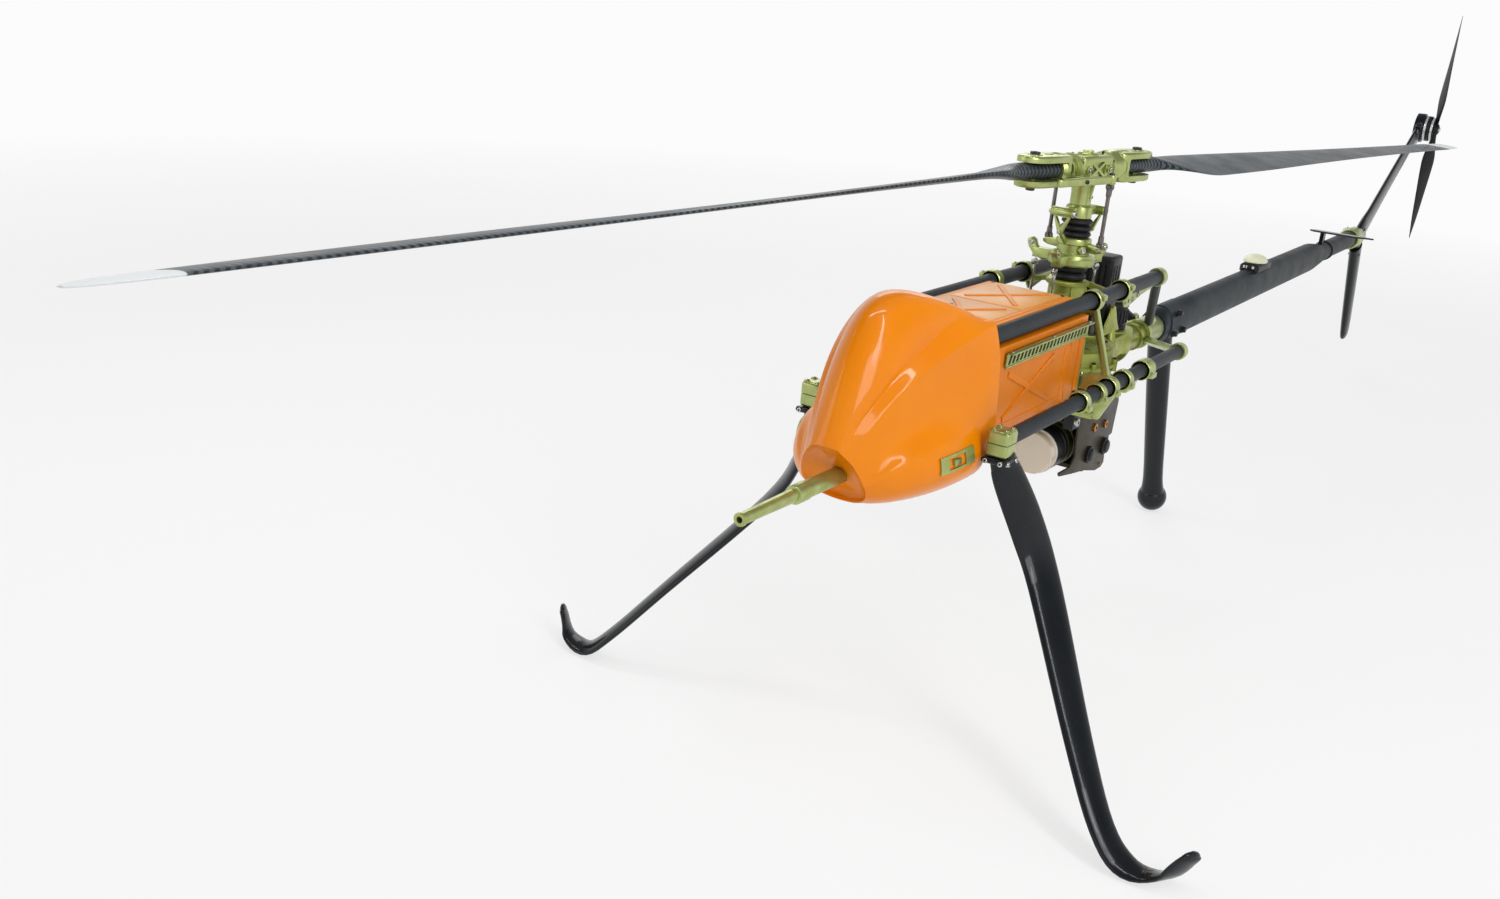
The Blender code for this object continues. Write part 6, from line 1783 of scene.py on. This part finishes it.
legLine = [
    (0.149, -0.538, 0.3284, 0.0185, 0.0120), (0.152, -0.534, 0.340, 0.0205, 0.0112),
    (0.158, -0.528, 0.358, 0.024, 0.0095),
    (0.186, -0.502, 0.430, 0.028, 0.0080), (0.229, -0.510, 0.507, 0.027, 0.0070),
    (0.338, -0.603, 0.655, 0.022, 0.0065),
    (0.403, -0.648, 0.740, 0.020, 0.0065), (0.445, -0.653, 0.777, 0.021, 0.0065),
    (0.489, -0.644, 0.774, 0.022, 0.0060),
    (0.512, -0.635, 0.747, 0.019, 0.0055), (0.5165, -0.6332, 0.738, 0.0145, 0.0048),
    (0.5185, -0.6325, 0.7325, 0.0060, 0.0026),
]


def buildFrontLegs():
    for side, sign in sides.items():
        stations = []
        for x, y, drop, broad, thin in smoothLine(legLine, 5):
            point = spot(sign * x, y, drop)
            point.z = max(point.z, thin)
            stations.append((point, broad, thin))
        leg = ovalBar("frontLeg" + side, stations, Vector((sign * 0.56, 0.83, 0)), 40, 70)
        dress(leg, "legBlack", standsFor=["front_leg_" + side.lower()])
        x = sign * 0.146
        clamp = block("clamp", spot(x - 0.0155, -0.5570, 0.3278), spot(x + 0.0155, -0.5230, 0.2905), 0.0050, 4)
        cutAway(clamp, block("split", spot(x - 0.03, -0.57, 0.3092), spot(x + 0.03, -0.51, 0.3080), 0))
        cutAway(clamp, rod("bore", spot(x, -0.550, 0.3075), spot(x, -0.50, 0.3075), 0.0111, edge=0))
        pads = [rod("pad", spot(x + dx, y, 0.2912), spot(x + dx, y, 0.2896), 0.0052)
                for dx in (-0.0092, 0.0092) for y in (-0.5495, -0.5305)]
        dress(fuse("legClamp" + side, [smoothAt(clamp)] + pads), "anodisedGreen",
              standsFor=["leg_clamp_" + side.lower()])
        flange = block("flange", spot(x - 0.0185, -0.5620, 0.3360), spot(x + 0.0185, -0.5180, 0.3284), 0.0036,
                       3)
        dress(flange, "legBlack").name = "legFlange" + side
        boltSet(
            "legBolts" + side,
            [(spot(x + sign * 0.0165, y, 0.3335), (sign, 0, 0.25), 0.0036, 0.0040) for y in (-0.553, -0.527)]
            + [(spot(x + dx, -0.5600, 0.3330), (0, -1, 0.25), 0.0034, 0.0034) for dx in (-0.011, 0.011)]
            + [(spot(x + dx, y, 0.2898), (0, 0, 1), 0.0030, 0.0018) for dx in (-0.0092, 0.0092)
               for y in (-0.5495, -0.5305)], "boltSteel")


def buildRearLeg():
    top, centre = spot(0, 0.560, boomSetup["drop"]), spot(0, 0.733, hubHeight - 0.031)
    stations = [
        (top, 0.024, 0.024), (top.lerp(centre, 0.06), 0.0242, 0.0235), (top.lerp(centre, 0.2), 0.024, 0.022),
        (top.lerp(centre, 0.5), 0.0226, 0.020), (top.lerp(centre, 0.80), 0.021, 0.018),
        (top.lerp(centre, 0.88), 0.0212, 0.0186), (top.lerp(centre, 0.925), 0.0225, 0.0200),
        (top.lerp(centre, 0.96), 0.0250, 0.0232), (centre, 0.0255, 0.0240)]
    leg = ovalBar("rearLeg", stations, Vector((1, 0, 0)), 40, 70)
    radius = 0.031
    profile = [(radius * math.sin(math.pi * i / 24), -radius * math.cos(math.pi * i / 24)) for i in range(25)]
    profile[0], profile[-1] = (0, -radius), (0, radius)
    foot = turned("foot", profile, Matrix.Translation(centre), 48, 70)
    dress(fuse("rearLeg", [leg, foot]), "legBlack", standsFor=["rear_leg"])


def buildStruts():
    for side, sign in sides.items():
        node = "rear_strut_" + side.lower()
        dress(refined(node, "rearStrut" + side, 0.0005, 1), "tubeWrap", standsFor=[node])
        caps = []
        for level in ("upper", "lower"):
            spread, drop, radius = tubeLine(level, sign)
            point = spot(spread, tubeSetup["rear"], drop)
            caps.append(
                turned("cap", [(0, 0.0115), (radius - 0.001, 0.0115), (radius + 0.0032, 0.0100),
                               (radius + 0.0040, 0.0080), (radius + 0.0040, -0.0060),
                               (radius + 0.0030, -0.0072), (radius + 0.0006, -0.0072), (radius + 0.0006, 0.0),
                               (0, 0.0)], axisPlace(point, (0, 1, 0)), 40))
        dress(fuse("tubeCaps" + side, caps), "anodisedGreen")


payloadSetup = {"axis": 0.478, "barrel": 0.039, "window": 0.037}


def buildPayload():
    axis = payloadSetup["axis"]
    radius = payloadSetup["barrel"]
    place = axisPlace(spot(0, 0, axis), (0, -1, 0))
    barrel = turned("cameraBarrel",
                    [(0, -0.194), (radius - 0.002, -0.194), (radius, -0.192), (radius, -0.020),
                     (radius - 0.0012, -0.0185), (radius - 0.0012, -0.0150), (radius, -0.0140),
                     (radius, 0.0165), (radius - 0.001, 0.0178), (0, 0.0178)], place, 64)
    dress(barrel, "plasticBlack", standsFor=["payload_barrel"])
    radius = payloadSetup["window"]
    window = turned("cameraWindow",
                    [(0, 0.0183), (radius, 0.0183), (radius, 0.0365), (radius - 0.0022, 0.0398),
                     (radius - 0.004, 0.0400), (0, 0.0400)], place, 64)
    dress(window, "windowBeige", standsFor=["payload_window"])
    rings = [turned("ring", [(radius - 0.001, start), (radius + grow, start), (radius + grow, end),
                             (radius - 0.001, end), (radius - 0.001, start)], place, 64, 30) for start, end,
             grow in ((0.0182, 0.0215, 0.0022), (-0.060, -0.052, 0.0028))]
    dress(fuse("cameraRings", rings), "ringWhite")
    band = turned(
        "olive", [(0.038, -0.050), (0.0398, -0.050), (0.0398, -0.031), (0.038, -0.031), (0.038, -0.050)],
        place, 64, 30)
    dress(band, "bandOlive").name = "cameraBand"
    # hanger wedge, side plates with knobs, and brass screws
    plates = []
    knobs = []
    brass = []
    for sign in sides.values():
        outline = sideView(
            [(0.0134, 0.3860), (0.1950, 0.3860), (0.2060, 0.4200), (0.1990, 0.4804), (0.1850, 0.4820),
             (0.1890, 0.5042), (0.1780, 0.5160), (0.1810, 0.5310), (0.1700, 0.5380), (0.1400, 0.5380),
             (0.0776, 0.5230), (0.0253, 0.5160), (-0.0380, 0.5060), (-0.0420, 0.4990), (0.0050, 0.5000),
             (0.0230, 0.4850), (0.0162, 0.4411)])
        side = plate("side", outline, 0.0040, alongX(sign * 0.0540), 0.0008)
        cutAway(
            side, rod("hole", spot(sign * 0.04, 0.110, 0.418), spot(sign * 0.07, 0.110, 0.418), 0.004, edge=0))
        plates.append(smoothAt(side))
        for y, drop in ((0.0841, 0.4939), (0.1591, 0.4949)):
            point = spot(sign * 0.0555, y, drop)
            knobs.append(
                turned("knob",
                       [(0, 0), (0.0150, 0), (0.0155, 0.0015), (0.0155, 0.0060), (0.0120, 0.0075),
                        (0.0115, 0.0100), (0.0090, 0.0110), (0, 0.0110)], axisPlace(point, (sign, 0, 0)), 10))
        for y, drop in ((0.0948, 0.4468), (0.148, 0.4511)):
            brass.append((spot(sign * 0.0555, y, drop), (sign, 0, 0), 0.0075, 0.0050))
        brass.append((spot(sign * 0.0555, 0.160, 0.5300), (sign, 0, 0), 0.0030, 0.0020))
    plates.append(block("roof", spot(-0.0525, 0.018, 0.3920), spot(0.0525, 0.200, 0.3806), 0.0010))
    plates.append(block("back", spot(-0.0525, 0.182, 0.5000), spot(0.0525, 0.1945, 0.3900), 0.0010))
    plates.append(block("floor", spot(-0.0525, 0.080, 0.5270), spot(0.0525, 0.170, 0.5190), 0.0010))
    dress(fuse("payloadFrame", plates), "payloadBrown", standsFor=["payload_frame"])
    dress(fuse("payloadKnobs", knobs), "plasticBlack")
    boltSet("payloadScrews", brass, "screwBrass")
    outline = sideView([(-0.088, 0.3695), (0.186, 0.3695), (0.186, 0.3802), (-0.020, 0.3802), (-0.088, 0.3790)])
    wedge = plate("wedge", outline, 0.100, alongX(), 0.0010)
    blocks = [block("latchBlock", spot(sign * 0.040, -0.022, 0.3980), spot(sign * 0.058, 0.014, 0.4280),
                    0.0020) for sign in (1, -1)]
    dress(fuse("payloadTop", [wedge] + blocks), "plasticBlack")
    boltSet("payloadCatch", [(spot(sign * 0.0578, -0.012, 0.4140), (sign, 0, 0), 0.0070, 0.0060)
                             for sign in (1, -1)], "boltSteel")


buildBoom()
buildBoomTop()
buildFins()
buildTailMotor()
buildFrontLegs()
buildRearLeg()
buildStruts()
buildPayload()
print("boom, tail, legs and payload are built")

# a piece stands for every CAD node, so only the screw that the bolt sets copied is left over
bpy.data.objects.remove(boltHead)
